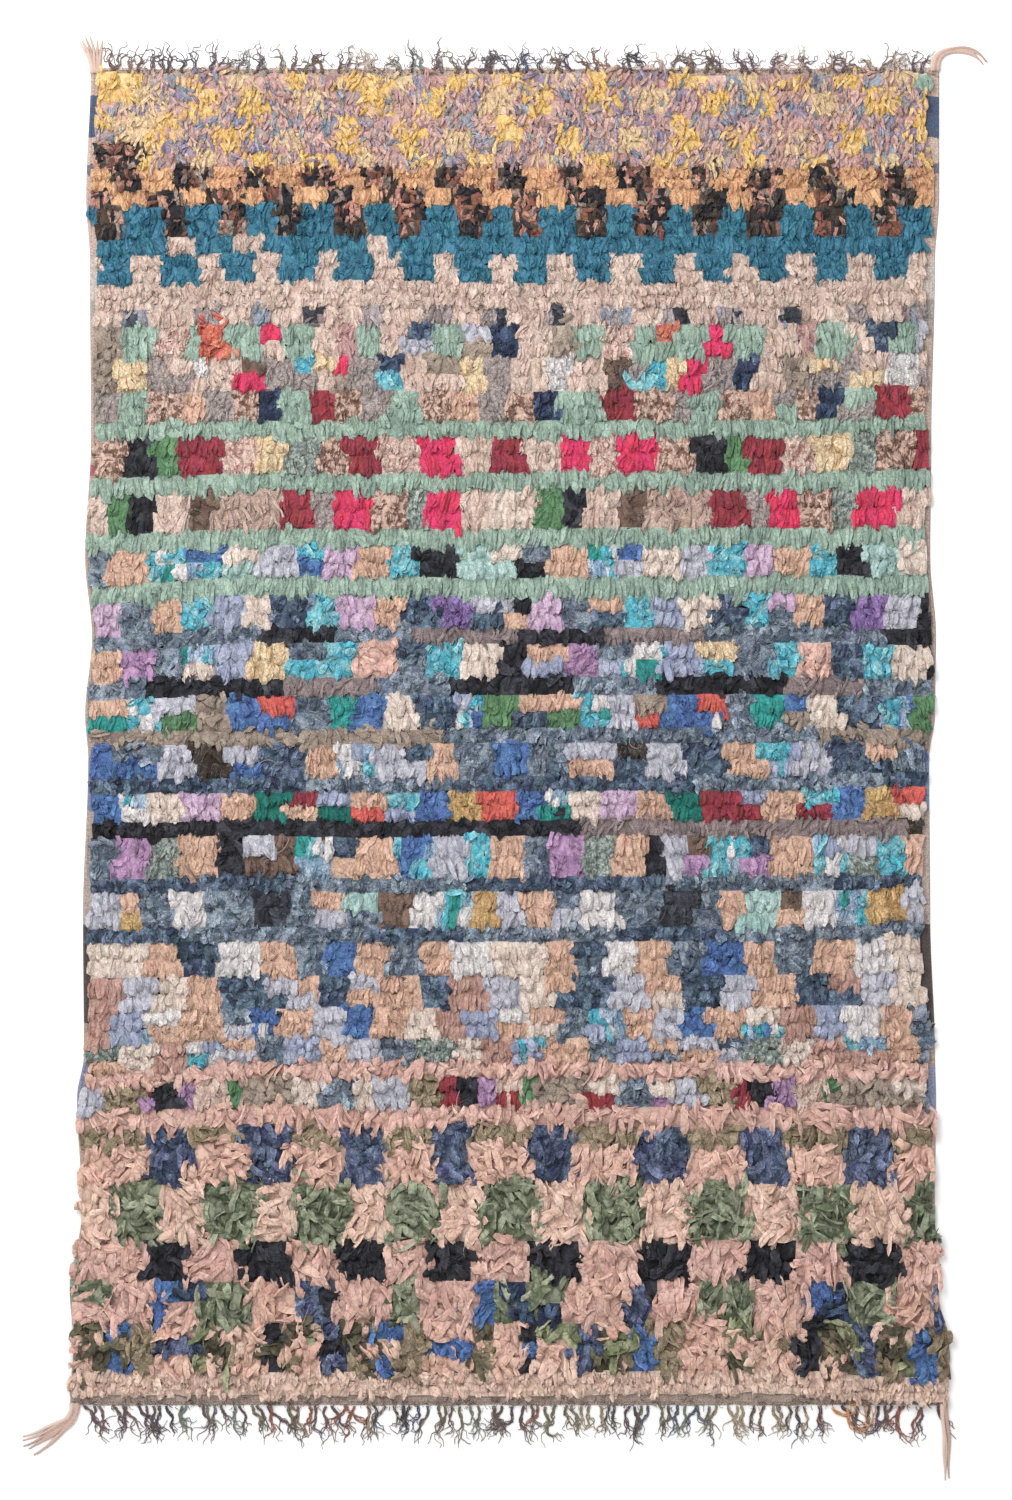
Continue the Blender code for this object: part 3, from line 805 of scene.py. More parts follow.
@dataclass
class RagPile(Part):
    """The pile: row after row of rag ends, each a gathered strip that lies over from its knot."""

    bands: dict[str, tuple[Band, ...]]
    # mm down, then how much of the ground shows to the left and to the right of the pile
    bare_edges: Stations = (
        (0, 9, 12), (50, 15, 27), (125, 13, 24), (190, 13, 15), (250, 9, 12), (360, 17, 22),
        (500, 12, 20), (680, 9, 10), (1200, 9, 8), (1300, 12, 7), (1600, 14, 20), (1780, 16, 20),
        (1820, 8, 8), (1880, 13, 17), (2080, 8, 12), (2140, 3, 4), (2520, 2, 2),
    )
    # mm down, then how far the rows sag beside the left and the right side
    sags: Stations = (
        (0, 0, 0), (250, 8, 0), (680, 4, -10), (790, 11, -3), (900, 11, -5), (1000, 18, -2),
        (1090, 18, 8), (1180, 9, 2), (1270, 5, 0), (1340, 4, -14), (1440, 4, -2), (1600, 3, -10),
        (1700, 2, -8), (1880, 26, 4), (1960, 6, 4), (2300, 0, 6), (2520, -2, 9),
    )
    sag_reach: float = 180 * MM
    bare_start: float = 10 * MM
    bare_end: float = 17 * MM
    base: float = GROUND_THICK + 0.3 * MM
    ceiling: float = 35.5 * MM
    parting: float = -11 * MM
    spot_apart: tuple[float, float] = (106 * MM, 62 * MM)
    spot_size: float = 23 * MM
    knot_high: float = 11 * MM
    knot_step: float = 34 * MM
    crease: float = math.radians(42)
    seed: int = 11
    # of each rag end: where its rings are, how high, and how wide and thick they are
    steps: tuple[float, ...] = (0.0, 0.18, 0.40, 0.62, 0.84, 1.0)
    lift: tuple[float, ...] = (0.20, 0.60, 0.90, 1.0, 0.92, 0.68)
    swell: tuple[float, ...] = (0.80, 1.0, 1.06, 1.04, 1.0, 1.0)
    body: tuple[float, ...] = (0.8, 1.0, 1.0, 1.0, 0.9, 0.62)
    node = "pile"
    slot = "rag_pile"

    def spotted(self, x: Array, y: float) -> Array:
        """Says which knots of a scattered band lie in which of its spots.

        Args:
            x: The knots' places across the rug.
            y: The row's place along it.

        Returns:
            For each knot the number of its spot, or -1.
        """
        down = (RUG_LENGTH / 2 - y) / self.spot_apart[1]
        near, which = np.full_like(x, 9.0), np.zeros(len(x), int)
        for line in (math.floor(down), math.floor(down) + 1):
            place = x / self.spot_apart[0] + 0.5 * (line % 2)
            cell = np.round(place)
            stray_x, stray_y = (
                drift(cell, np.full_like(cell, line), 1.0, seed) * 0.16 for seed in (5, 6))
            off_x = (place - cell - stray_x) * self.spot_apart[0]
            off_y = (down - line - stray_y) * self.spot_apart[1]
            off = np.maximum(np.abs(off_x), 0.85 * np.abs(off_y)) / self.spot_size
            which = np.where(off < near, (cell * 2 + line * 5).astype(int) % 60, which)
            near = np.minimum(near, off)
        near = near + self.rng.normal(0, 0.08, len(x))
        near = near - 1.2 * np.exp(-(((x - x.min()) / 0.10) ** 4))
        return np.where(near < 1, which, -1)

    def sag(self, row: Row, x: Array) -> Array:
        """How far a row sags at its places: most beside the sides, and a little all over.

        Args:
            row: The row.
            x: Places across the rug.

        Returns:
            The sag at each place, in metres.
        """
        table, down = np.array(self.sags).T, (RUG_LENGTH / 2 - row.middle) / MM
        level = np.full_like(x, row.middle)
        found = 2.5 * MM * drift(x, level, 250 * MM, 8)
        for side, sags in zip(sides_at(row.middle), table[1:]):
            beside = np.exp(-(((x - side) / self.sag_reach) ** 2))
            found = found + np.interp(down, table[0], sags) * MM * beside
        return found + row.band.uneven * MM * drift(x, level, 45 * MM, 9)

    def cloths(self, row: Row, x: Array) -> tuple[list[str], Array]:
        """Picks the cloth of each rag end in a row.

        Args:
            row: The row.
            x: The rag ends' places across the rug.

        Returns:
            The names of the cloths, and the number of the block that each is in.
        """
        rng, band = self.rng, row.band
        starts, words = zip(*row.blocks)
        starts = np.array(starts) + rng.normal(0, 5 * MM, len(starts))
        if band.layout is Layout.PATCHES and row.number % 2:
            others = [w.partition("*")[0] for w in band.repeat.split()]
            words = [
                others[rng.integers(len(others))] if rng.random() < band.change else w
                for w in words
            ]
        ragged = (0.5 + 1.5 * band.shag) * MM
        found = np.searchsorted(starts, x + rng.normal(0, ragged, len(x))) - 1
        names = [words[max(i, 0)] for i in found]
        if band.layout is Layout.SCATTER:
            warm = MIXES[band.spots].split()
            spots = np.where(rng.random(len(x)) < 0.07, -1, self.spotted(x, row.middle))
            names = [band.repeat if spot < 0 else warm[spot % len(warm)] for spot in spots]
            found = np.zeros_like(found)
        for cloth, near in (
            (band.left_cloth, x < x[0] + band.left_width * MM),
            (band.right_cloth, x > x[-1] - band.right_width * MM),
        ):
            names = [cloth if cloth and inside else n for n, inside in zip(names, near)]
        held = {Layout.PATCHES: 0.72, Layout.SCATTER: 0.15}.get(band.layout, 0.45)
        for i, name in enumerate(names):
            if name in MIXES:
                choice = MIXES[name].split()
                share = 0.12 if name == "dark_rags" else held
                again = i > 0 and found[i] == found[i - 1] and rng.random() < share
                names[i] = names[i - 1] if again else choice[rng.integers(len(choice))]
        return names, found

    def lay(self, row: Row) -> tuple[tuple[Array, list[str]], tuple[Array, list[str]]]:
        """Lays one row of rag ends.

        Args:
            row: The row.

        Returns:
            The rings of its rag ends with their cloths' names, and the same for its knots.
        """
        (left, right), bare = sides_at(row.middle), np.array(self.bare_edges).T
        down = (RUG_LENGTH / 2 - row.middle) / MM
        uneven = self.rng.uniform(-4, 4, 2) * MM
        left += np.interp(down, bare[0], bare[1]) * MM + uneven[0]
        right -= np.interp(down, bare[0], bare[2]) * MM + uneven[1]
        count = int((right - left) / (row.band.pitch * MM))
        x = left + (right - left) * (np.arange(count) + 0.5) / count
        names, found = self.cloths(row, x)
        table = np.array([astuple(CLOTHS[name].cut) for name in names], float)
        knots, knot_names = self.knots(row, x, found, names)
        kept = (np.arange(count) + row.number) % table[:, -1].astype(int) == 0
        spare = (3 + 9 * row.band.shag) * MM
        low = np.array([x[found == number].min() for number in found]) - spare
        high = np.array([x[found == number].max() for number in found]) + spare
        rings = self.ends(row, x[kept], np.stack([low, high], 1)[kept], table[kept])
        rings[..., 1] -= self.sag(row, x[kept])[:, None, None]
        knots[..., 1] -= self.sag(row, knots[..., 0])
        return (rings, [n for n, keep in zip(names, kept) if keep]), (knots, knot_names)

    def knots(self, row: Row, x: Array, found: Array, names: list[str]) -> tuple[Array, list[str]]:
        """Lays the knots that the rag ends come out of, a short lumpy roll for each few of them.

        Args:
            row: The row.
            x: The places of its rag ends.
            found: The number of the block that each is in.
            names: Their cloths.

        Returns:
            The rolls' rings and their cloths' names.
        """
        pitch, high = row.band.pitch * MM, self.knot_high * (1 - 0.4 * row.band.shag)
        group, starts = max(round(self.knot_step / pitch), 1), [0]
        for i in range(1, len(x)):
            new = found[i] != found[i - 1] or (names[i] != names[i - 1] and pitch > 5 * MM)
            if new or i - starts[-1] >= group:
                starts.append(i)
        n, ends = len(starts), np.array([*starts[1:], len(x)]) - 1
        path = np.zeros((n, 2, 3))
        path[:, 0, 0] = x[starts] - 0.6 * pitch
        path[:, 1, 0] = x[ends] + 0.6 * pitch
        path[:, :, 1] = row.middle + self.rng.normal(0, 1.5 * MM, (n, 2))
        path[:, :, 2] = self.base + high * 0.5
        wide, thick = np.full((n, 2), row.tall * 1.1), high * self.rng.uniform(0.85, 1.1, (n, 2))
        rings = sweep(path, wide, thick, np.zeros((n, 2)), round_profile(n, 4, -0.25))
        rings[..., 2] = np.maximum(rings[..., 2], self.base)
        return rings, [names[i] for i in starts]

    def ends(self, row: Row, x: Array, limits: Array, table: Array) -> Array:
        """Shapes the rag ends of a row from their cuts.

        Args:
            row: The row.
            x: The knots' places.
            limits: How far to the left and to the right each end may lie.
            table: A row of cut measures for each end.

        Returns:
            The rings, as ends by steps by points by 3.
        """
        rng, shag, tall, n = self.rng, row.band.shag, row.tall, len(x)
        wide, thick, reach, loft, yaw, kink, curl = table.T[:7]
        roll, taper, valley, rough, upward, stray, _ = table.T[7:]
        along = np.full(n, row.middle)
        rising = rng.random(n) < upward + 0.1 * shag
        reach = reach * (1 + 0.45 * shag) * tall * (1 + rng.normal(0, 0.12, n))
        reach = reach * (1 + 0.10 * drift(x, along, 26 * MM, 1))
        reach = np.where(rising, 0.70 * reach, reach)
        near_side = np.exp(-(x - x[0]) / 0.02) - np.exp(-(x[-1] - x) / 0.02)
        shared = drift(x, along, (19 + 30 * shag) * MM, 2) * (1 + 0.4 * shag)
        yaw = (yaw + 6 * shag) * (rng.normal(0, 0.75 - 0.3 * shag, n) + shared) - 6 * near_side
        bearing = np.radians(np.where(rising, 90 - yaw, -90 + yaw))
        root = row.middle + tall * np.where(rising, rng.uniform(-0.45, -0.12, n), 0.46)
        root = root + stray * MM * rng.normal(0, 1, n) + 4 * MM * drift(x, along, 55 * MM, 3)
        part = 1 - 0.35 * np.exp(-(((x - self.parting) / (6 * MM)) ** 2))
        uneven = rng.normal(0, 1.5 + 2.5 * shag, n) + 1.6 * drift(x, along, 30 * MM, 4)
        loft = (loft * (1 + 0.10 * shag) + uneven) * part * MM
        steps = np.array(self.steps)
        path = np.zeros((n, len(steps), 3))
        path[:, 0, 0] = x + rng.normal(0, 1.6 * MM, n)
        path[:, 0, 1] = root
        bend = np.radians(curl) * rng.normal(0, 0.6, n)
        for j in range(1, len(steps)):
            at = bearing + bend * ((steps[j] + steps[j - 1]) / 2 - 0.3)
            ahead = reach * (steps[j] - steps[j - 1])
            aside = kink * MM * rng.normal(0, 0.6, n)
            path[:, j, 0] = path[:, j - 1, 0] + np.cos(at) * ahead - np.sin(at) * aside
            path[:, j, 1] = path[:, j - 1, 1] + np.sin(at) * ahead + np.cos(at) * aside
        path[:, :, 0] = np.clip(path[:, :, 0], limits[:, :1], limits[:, 1:])
        path[:, :, 2] = self.base + loft[:, None] * np.array(self.lift)
        path[:, -1, 2] += loft * rng.normal(0, 0.12, n)
        path[:, 1:-1, 2] += (0.3 * kink * MM)[:, None] * rng.normal(0, 1, (n, len(steps) - 2))
        swell = np.tile(self.swell, (n, 1))
        swell[:, -1] = taper
        size = 1 + rng.normal(0, 0.13, (n, 1))
        wide = wide[:, None] * MM * swell * size * (1 + 0.12 * shag)
        high = thick[:, None] * MM * np.array(self.body) * size
        lean = rng.normal(0, 0.7, (n, 1)) + rng.normal(0, 0.35, (n, len(steps)))
        lean = np.radians(roll)[:, None] * lean
        profile = np.zeros((n, 5, 2))
        profile[:, :, 0] = (0.5, 0.25, 0.0, -0.25, -0.5)
        profile[:, :, 1] = (-0.38, 0.5, 0.0, 0.5, -0.38)
        profile[:, 1:4, 0] += rng.normal(0, 0.07, (n, 3))
        profile[:, 2, 1] = np.maximum(valley + rng.normal(0, 0.15, n), -0.3)
        profile[:, (1, 3), 1] -= 0.25 * np.clip(valley, 0, 1)[:, None]
        rings = sweep(path, wide, high, lean, profile)
        crumple = rng.normal(0, 1, rings.shape) * (0.6, 0.9, 0.8)
        rings += crumple * (rough * MM)[:, None, None, None]
        ragged = rng.normal(0, 1, (n, 5)) * (1.8 * MM)
        rings[:, -1, :, 0] += ragged * np.cos(bearing)[:, None]
        rings[:, -1, :, 1] += ragged * np.sin(bearing)[:, None]
        rings[..., 2] = np.clip(rings[..., 2], self.base, self.ceiling)
        return rings

    def build(self) -> list[Piece]:
        """Lays every band, from the short-fringe end on.

        Returns:
            The pile's pieces, one for each group of bands and one for the knots.
        """
        self.rng = np.random.default_rng(self.seed)
        total = sum(band.height for group in self.bands.values() for band in group)
        scale = (RUG_LENGTH - self.bare_start - self.bare_end) / total
        top = RUG_LENGTH / 2 - self.bare_start
        laid = {name: ([], []) for name in (*self.bands, "rag_knots")}
        for name, group in self.bands.items():
            for band in group:
                blocks = band.blocks(*sides_at(top), self.rng)
                tall = band.height * scale / band.rows
                for number in range(band.rows):
                    row = Row(band, blocks, number, top - tall * (number + 0.5), tall)
                    for piece, (rings, names) in zip((name, "rag_knots"), self.lay(row)):
                        laid[piece][0].append(rings)
                        laid[piece][1].extend(names)
                top -= band.height * scale
        made = []
        for name, (rings, names) in laid.items():
            made.append(dyed_tubes(name, np.concatenate(rings), names, CLOTHS))
            made[-1].data.set_sharp_from_angle(angle=self.crease)
        return made


@dataclass(frozen=True)
class Weft:
    """Wool weft beaten over a cotton warp: fine cross lines, and a cord's swell at each warp."""

    name: str
    stretches: tuple[tuple[float, str], ...]
    warp_mm: float = 6.0
    dark: float = 0.66
    light: float = 1.18
    weft_mm: float = 3.0

    def material(self) -> Material:
        """The woven ground's material, whose weft changes colour along the rug.

        Returns:
            The material.
        """
        fabric = Fabric(self.name, 0.95, 0.15, 0.2)
        add, place, sway = fabric.add, {"Vector": fabric.place}, 0.02
        uneven = add("TexNoise", place, {"Scale": per_mm(14), "Detail": 2}, "Fac")
        along = add("SeparateXYZ", {0: fabric.place}, out=1)
        shifted = add("Math", {0: uneven, 2: along}, {1: sway}, operation="MULTIPLY_ADD")
        ends = {"From Min": (RUG_LENGTH + sway) / 2, "From Max": (sway - RUG_LENGTH) / 2}
        shade = add("ValToRGB", {0: add("MapRange", {"Value": shifted}, ends)})
        ramp = shade.node.color_ramp
        ramp.interpolation = "CONSTANT"
        while len(ramp.elements) > 1:
            ramp.elements.remove(ramp.elements[0])
        for i, (start, tint) in enumerate(self.stretches):
            at = start * MM / RUG_LENGTH
            stop = ramp.elements.new(at) if i else ramp.elements[0]
            stop.position, stop.color = at, linear(tint)
        flecks = add("TexNoise", place, {"Scale": per_mm(3), "Detail": 2}, "Fac")
        tone = {"From Min": 0.35, "From Max": 0.65, "To Min": self.dark, "To Max": self.light}
        value = add("MapRange", {"Value": flecks}, tone)
        dyed = add("HueSaturation", {"Color": shade, "Value": value})
        lines = {"Scale": per_mm(self.weft_mm * WAVE_SLOW), "Distortion": 1.5, "Detail": 1}
        swells = {"Scale": per_mm(self.warp_mm * WAVE_SLOW), "Distortion": 0.8}
        weft = add("TexWave", place, lines, "Fac", bands_direction="Y")
        warp = add("TexWave", place, swells, "Fac", bands_direction="X")
        corded = add("Bump", {"Height": warp}, {"Strength": 1, "Distance": 0.8 * MM})
        depth = {"Strength": 1, "Distance": 0.6 * MM}
        return fabric.finish(dyed, add("Bump", {"Height": weft, "Normal": corded}, depth))


@dataclass
class GroundWeave(Part):
    """The flat woven ground, thicker at its sides where the weft turns round cords."""

    step: float = 12 * MM
    cord: float = 9 * MM
    cord_rise: float = 1.8 * MM
    cords: int = 3
    middle_columns: int = 18
    under_columns: int = 16
    # the wefts' shades, from mm down on
    stretches: tuple[tuple[float, str], ...] = (
        (0, "#BBA598"), (43, "#505C75"), (125, "#C4AEA2"), (176, "#76727F"), (190, "#C0A89D"),
        (346, "#C2B6AD"), (431, "#A89F98"), (478, "#B5A297"), (743, "#A8626C"), (762, "#AE9C92"),
        (1290, "#8389A2"), (1390, "#AFA098"), (1612, "#554C4A"), (1792, "#A8928A"),
        (1877, "#868AA2"), (2000, "#B59C90"), (2488, "#B3A095"),
    )
    node = "ground_weave"
    slot = "ground"

    def build(self) -> Piece:
        """Weaves the ground as one closed sheet.

        Returns:
            The ground's object.
        """
        stations, flat = round(RUG_LENGTH / self.step) + 1, GROUND_THICK * 0.8
        y = np.linspace(RUG_LENGTH / 2, -RUG_LENGTH / 2, stations)
        side = np.arange(self.cords * 4 + 1) * self.cord / 4
        middle = np.linspace(side[-1], 1, self.middle_columns + 2)[1:-1]
        share = (middle - side[-1]) / (1 - side[-1])
        rise = flat + self.cord_rise * np.abs(np.sin(np.pi * side / self.cord))
        rise[0] = GROUND_THICK * 0.5
        top = np.concatenate([rise, np.full(len(share), flat), rise[::-1]])
        z = np.concatenate([np.zeros(self.under_columns), top[::-1]])
        rows = []
        for at, low, high in zip(y, *edges_at(y)):
            inner, outer = low + side[-1], high - side[-1]
            across = inner + (outer - inner) * share
            upper = np.concatenate([low + side, across, (high - side)[::-1]])
            under = np.linspace(low + 1 * MM, high - 1 * MM, self.under_columns)
            x = np.concatenate([under, upper[::-1]])
            rows.append(np.stack([x, np.full(len(x), at), z], 1))
        weft = Weft("wool_weft_on_cotton_warp_woven", self.stretches)
        return tube_object("ground", np.array(rows)[None], np.array([0]), [weft.material()])

    def dress(self, ground: Piece, fringes: list[Piece]) -> None:
        """Args:
            ground: The ground's object.
            fringes: The pieces at its ends; not used.
        """
        super().dress([ground])
        left, right = edges_at(np.linspace(-RUG_LENGTH / 2, RUG_LENGTH / 2, 200))


@dataclass(frozen=True)
class Yarn:
    """Handspun wool yarn: two plies, hairy and kinked, so it has no shine and breaks the light."""

    name: str
    shade: str
    second: str

    def material(self) -> Material:
        """The yarn's material, made the first time it is asked for.

        Returns:
            The material.
        """
        name = f"wool_yarn_spun_{self.name}"
        if name in bpy.data.materials:
            return bpy.data.materials[name]
        fabric = Fabric(name, 0.96, 0.2, 0.2)
        add = fabric.add
        rag, chance = fabric.rags()
        grain = {"Scale": per_mm(8), "Detail": 2}
        mottle = add("TexNoise", {"Vector": fabric.place}, grain, "Fac")
        both = add("Math", {0: mottle, 1: chance}, operation="ADD")
        mix = add("MapRange", {"Value": both}, {"From Min": 0.55, "From Max": 1.45})
        lie = {"Rotation": (0, 0, math.radians(35)), "Scale": (3, 26, 1)}
        ply = add("Mapping", {"Vector": rag}, lie)
        twist = add("TexWave", {"Vector": ply}, {"Scale": 0.5, "Distortion": 0.6}, "Fac")
        plied = add("Bump", {"Height": twist}, {"Strength": 1, "Distance": 0.35 * MM})
        shades = {6: linear(self.shade), 7: linear(self.second)}
        dyed = add("Mix", {"Factor": mix}, shades, 2, data_type="RGBA")
        return fabric.finish(dyed, plied)


YARNS = {
    name: Yarn(name, shade, second)
    for name, shade, second in (
        ("plum", "#5D4A53", "#776069"), ("charcoal", "#3D3B41", "#5A565C"),
        ("brown", "#6B554A", "#8B7466"), ("olive", "#747058", "#949072"),
        ("grey_green", "#737B75", "#959B93"), ("rust", "#8E5648", "#AA7562"),
        ("tan", "#A8937A", "#C2AE94"), ("navy", "#434A66", "#5F6785"),
        ("orange", "#D39058", "#DFAE82"), ("pale", "#BFA99B", "#D2BFB2"),
        ("rose", "#B5968A", "#CBB0A3"),
    )
}


@dataclass
class YarnFringe(Part):
    """A flat woven end with the warp's loose yarns, crinkled from having been woven."""

    name: str
    node: str
    end: int
    web: float
    web_shade: str
    reach: float
    tints: str
    bundles: int
    wave: float
    hold: float
    part: float
    lean: float
    thick: float
    root: float
    seed: int
    lean_left: float = 0.0
    strip: float = 0.35
    broken_from: float = -12 * MM
    broken_to: float = 4 * MM
    yarns: int = 5
    steps: int = 13
    crinkle: float = 0.9 * MM
    gather: float = 2.2 * MM
    loop: float = 270.0
    short: int = 520
    slot = "warp_fringe"

    def woven_strip(self) -> Array:
        """The strip of plain weave between the pile and the loose yarns.

        Returns:
            Its rings, as one tube.
        """
        inner = self.end * (RUG_LENGTH / 2 - 2 * MM)
        left, right = sides_at(inner)
        x = np.linspace(left + 2 * MM, right - 2 * MM, 120)
        ragged = self.web * self.strip * (1 + 0.30 * np.sin(x * 41) + 0.25 * np.sin(x * 97 + 1))
        outer = self.end * (RUG_LENGTH / 2 + ragged)
        low, high = (inner, outer) if self.end > 0 else (outer, inner)
        low, high = np.broadcast_to(low, x.shape), np.broadcast_to(high, x.shape)
        top = np.array((1.6, 2.9, 3.0, 2.9, 1.6)) * MM
        y = low[:, None] + (high - low)[:, None] * np.linspace(0, 1, len(top))
        upper = np.stack([np.tile(x[:, None], 5), y, np.tile(top, (len(x), 1))], 2)
        lower = upper[:, [4, 0]].copy()
        lower[..., 2] = 0.2 * MM
        return np.concatenate([upper, lower], 1)[None]

    def loose_yarns(self) -> tuple[Array, list[str]]:
        """The yarns, a bundle at a time: each bundle holds together, then its yarns part.

        Returns:
            Their rings, and the name of each one's yarn.
        """
        rng = np.random.default_rng(self.seed)
        count, each, words = self.bundles, self.yarns, self.tints.split()
        edge = self.end * (RUG_LENGTH / 2 + self.root)
        left, right = sides_at(edge)
        middle = left + 0.020 + (right - left - 0.040) * (np.arange(count) + 0.5) / count
        middle = middle + rng.normal(0, 4.5 * MM, count)
        order = np.arange(count) / count * len(words) + rng.normal(0, 0.5, count)
        main = np.clip(order.astype(int), 0, len(words) - 1)
        looped = np.array([words[i] == "orange" for i in main])
        n, of = count * each, np.repeat(np.arange(count), each)
        share = np.linspace(0, 1, self.steps)

        whole = (self.reach * rng.uniform(0.60, 1.15, count) + self.web) * (1 + 0.9 * looped)
        whole = whole + 2 * MM - self.root
        leans = rng.normal(0, self.lean * 0.6, count)
        leans = leans - self.lean_left * np.exp(-(middle - left) / 0.25)
        bends = rng.normal(0, self.lean, count) + self.loop * looped
        phase = rng.uniform(0, 2 * np.pi, (count, 2))
        turns = rng.uniform(0.8, 1.9, (count, 1))
        sway = np.sin(2 * np.pi * turns * share + phase[:, :1])
        sway = sway + 0.5 * np.sin(4.4 * np.pi * turns * share + phase[:, 1:])
        sway = np.radians(self.wave) * sway * np.minimum(share * 4, 1)
        own_turns = rng.uniform(1.0, 2.6, (n, 1))
        own_phase = rng.uniform(0, 2 * np.pi, (n, 1))
        apart = np.clip((share - self.hold) / (1 - self.hold), 0, 1)
        at = np.radians(90.0 * self.end + leans)[of][:, None] + sway[of]
        at = at + np.radians(bends)[of][:, None] * share
        at = at + np.radians(rng.normal(0, self.part, (n, 1))) * np.minimum(apart * 2, 1)
        curl = np.sin(2 * np.pi * own_turns * share + own_phase)
        at = at + np.radians(self.wave * 1.4) * curl * apart
        reach = whole[of] * rng.uniform(0.72, 1.05, n)
        path = walk(middle[of], edge, at, reach[:, None] / (self.steps - 1))
        twist = 2 * np.pi * (np.tile(np.arange(each) / each, count)[:, None] + 2.2 * share)
        hug = self.gather * (1 - 0.3 * apart)
        kinks = self.crinkle * rng.normal(0, 1, (n, self.steps)) * np.minimum(share * 3, 1)
        aside = hug * np.sin(twist) + kinks
        path[:, :, 0] -= np.sin(at) * aside
        path[:, :, 1] += np.cos(at) * aside
        past_web = np.abs(path[:, :, 1]) - RUG_LENGTH / 2 - self.web * self.strip * 1.5
        over = 3.2 * MM * np.clip(1 - past_web / (9 * MM), 0, 1)
        path[:, :, 2] = self.thick / 2 + over + 0.5 * hug * (1 + np.cos(twist))
        girth = self.thick * rng.uniform(0.75, 1.15, (n, 1)) * (1 - 0.45 * share**3)
        girth = girth * (1 + 0.10 * rng.normal(0, 1, girth.shape))
        near = np.clip(main[of] + rng.integers(-1, 2, n), 0, len(words) - 1)
        pick = np.where((rng.random(n) < 0.65) | looped[of], main[of], near)
        return cords(path, girth), [words[i] for i in pick]

    def short_ends(self) -> tuple[Array, list[str]]:
        """Short broken ends of the same yarns, which cover the woven strip.

        Returns:
            Their rings, and the name of each one's yarn.
        """
        rng = np.random.default_rng(self.seed + 1)
        n, steps, words = self.short, 4, self.tints.split()
        left, right = sides_at(self.end * RUG_LENGTH / 2)
        x = rng.uniform(left + 6 * MM, right - 6 * MM, n)
        place = (x - left) / (right - left) * len(words) + rng.normal(0, 1.5, n)
        names = [words[i] for i in np.clip(place.astype(int), 0, len(words) - 1)]
        for i, name in enumerate(names):
            if i % 5 > 2 or name == "orange":
                names[i] = ("rose", "pale")[i % 2]
        share = np.linspace(0, 1, steps)
        at = 90 * self.end + rng.normal(0, 55, (n, 1)) + rng.normal(0, 60, (n, 1)) * share
        ahead = rng.uniform(6, 15, (n, 1)) * MM / steps
        y = self.end * (RUG_LENGTH / 2 + rng.uniform(self.broken_from, self.broken_to, n))
        path = walk(x, y, np.radians(at), ahead)
        path[:, :, 2] = rng.uniform(3.2, 6.5, (n, 1)) * MM + 1.5 * MM * np.sin(np.pi * share)
        return cords(path, np.full((n, steps), self.thick * 0.62)), names

    def build(self) -> list[Piece]:
        """Makes the woven strip, the yarns and their short ends.

        Returns:
            The pieces.
        """
        weft = Weft(f"wool_weft_woven_end_{self.name}", ((0, self.web_shade),), 5.0, 0.5, 1.4)
        one = np.array([0])
        strip = tube_object(
            f"woven_end_{self.name}", self.woven_strip(), one, [weft.material()])
        yarns = dyed_tubes(f"warp_fringe_{self.name}", *self.loose_yarns(), YARNS)
        return [strip, yarns, dyed_tubes(f"broken_ends_{self.name}", *self.short_ends(), YARNS)]


@dataclass
class CornerTassel(Part):
    """The loose ends of the selvedge cords at one corner: soft, thick and barely twisted."""

    node: str
    end: int
    side: int
    count: int
    length: float
    bearing: float
    spread: float
    curl: float
    head: float = 16 * MM
    start: float = 12 * MM
    thick: float = 7.0 * MM
    steps: int = 14
    seed: int = 5
    slot = "selvedge_cord"

    def build(self) -> list[Piece]:
        """Lays the cords out from the corner.

        Returns:
            The tassel, as a list of one.
        """
        rng, n = np.random.default_rng(self.seed + len(self.node) + self.count), self.count
        edge = self.end * (RUG_LENGTH / 2 - self.start)
        left, right = sides_at(edge)
        middle = left + self.head / 2 if self.side < 0 else right - self.head / 2
        order = (np.arange(n) + 0.5) / n - 0.5
        straight = (SHORT_WEB if self.end > 0 else LONG_WEB) + self.start
        share = np.linspace(0, 1, self.steps)
        reach = (self.length * MM + straight) * rng.uniform(0.88, 1.0, n)
        fan = -order * self.spread * self.end + rng.normal(0, 1.5, n)
        outward = np.radians(90.0 * self.end) % (2 * np.pi)
        turned = (np.radians(self.bearing + fan) - outward + np.pi) % (2 * np.pi) - np.pi
        first = (straight / reach)[:, None]
        turning = np.clip((share - first * 0.3) / 0.3, 0, 1)
        past = np.clip(share - first, 0, 1) / (1 - first)
        at = outward + turned[:, None] * turning + np.radians(self.curl) * past
        at = at + np.radians(5) * np.sin(9 * share + rng.uniform(0, 6, (n, 1)))
        start = middle + order * self.head * 0.9
        path = walk(start, edge, at, reach[:, None] / (self.steps - 1))
        girth = self.thick * rng.uniform(0.75, 1.15, (n, 1)) * (1.05 - 0.7 * share**2.5)
        path[:, :, 2] = girth * 0.4 + 4.0 * MM * (1 - share) ** 2 + FLOOR_CLEAR
        names = ["rose" if i % 3 else "pale" for i in range(n)]
        name = self.node.replace("corner_tassel", "selvedge_cords")
        return [dyed_tubes(name, cords(path, girth, 6, 0.75), names, YARNS)]


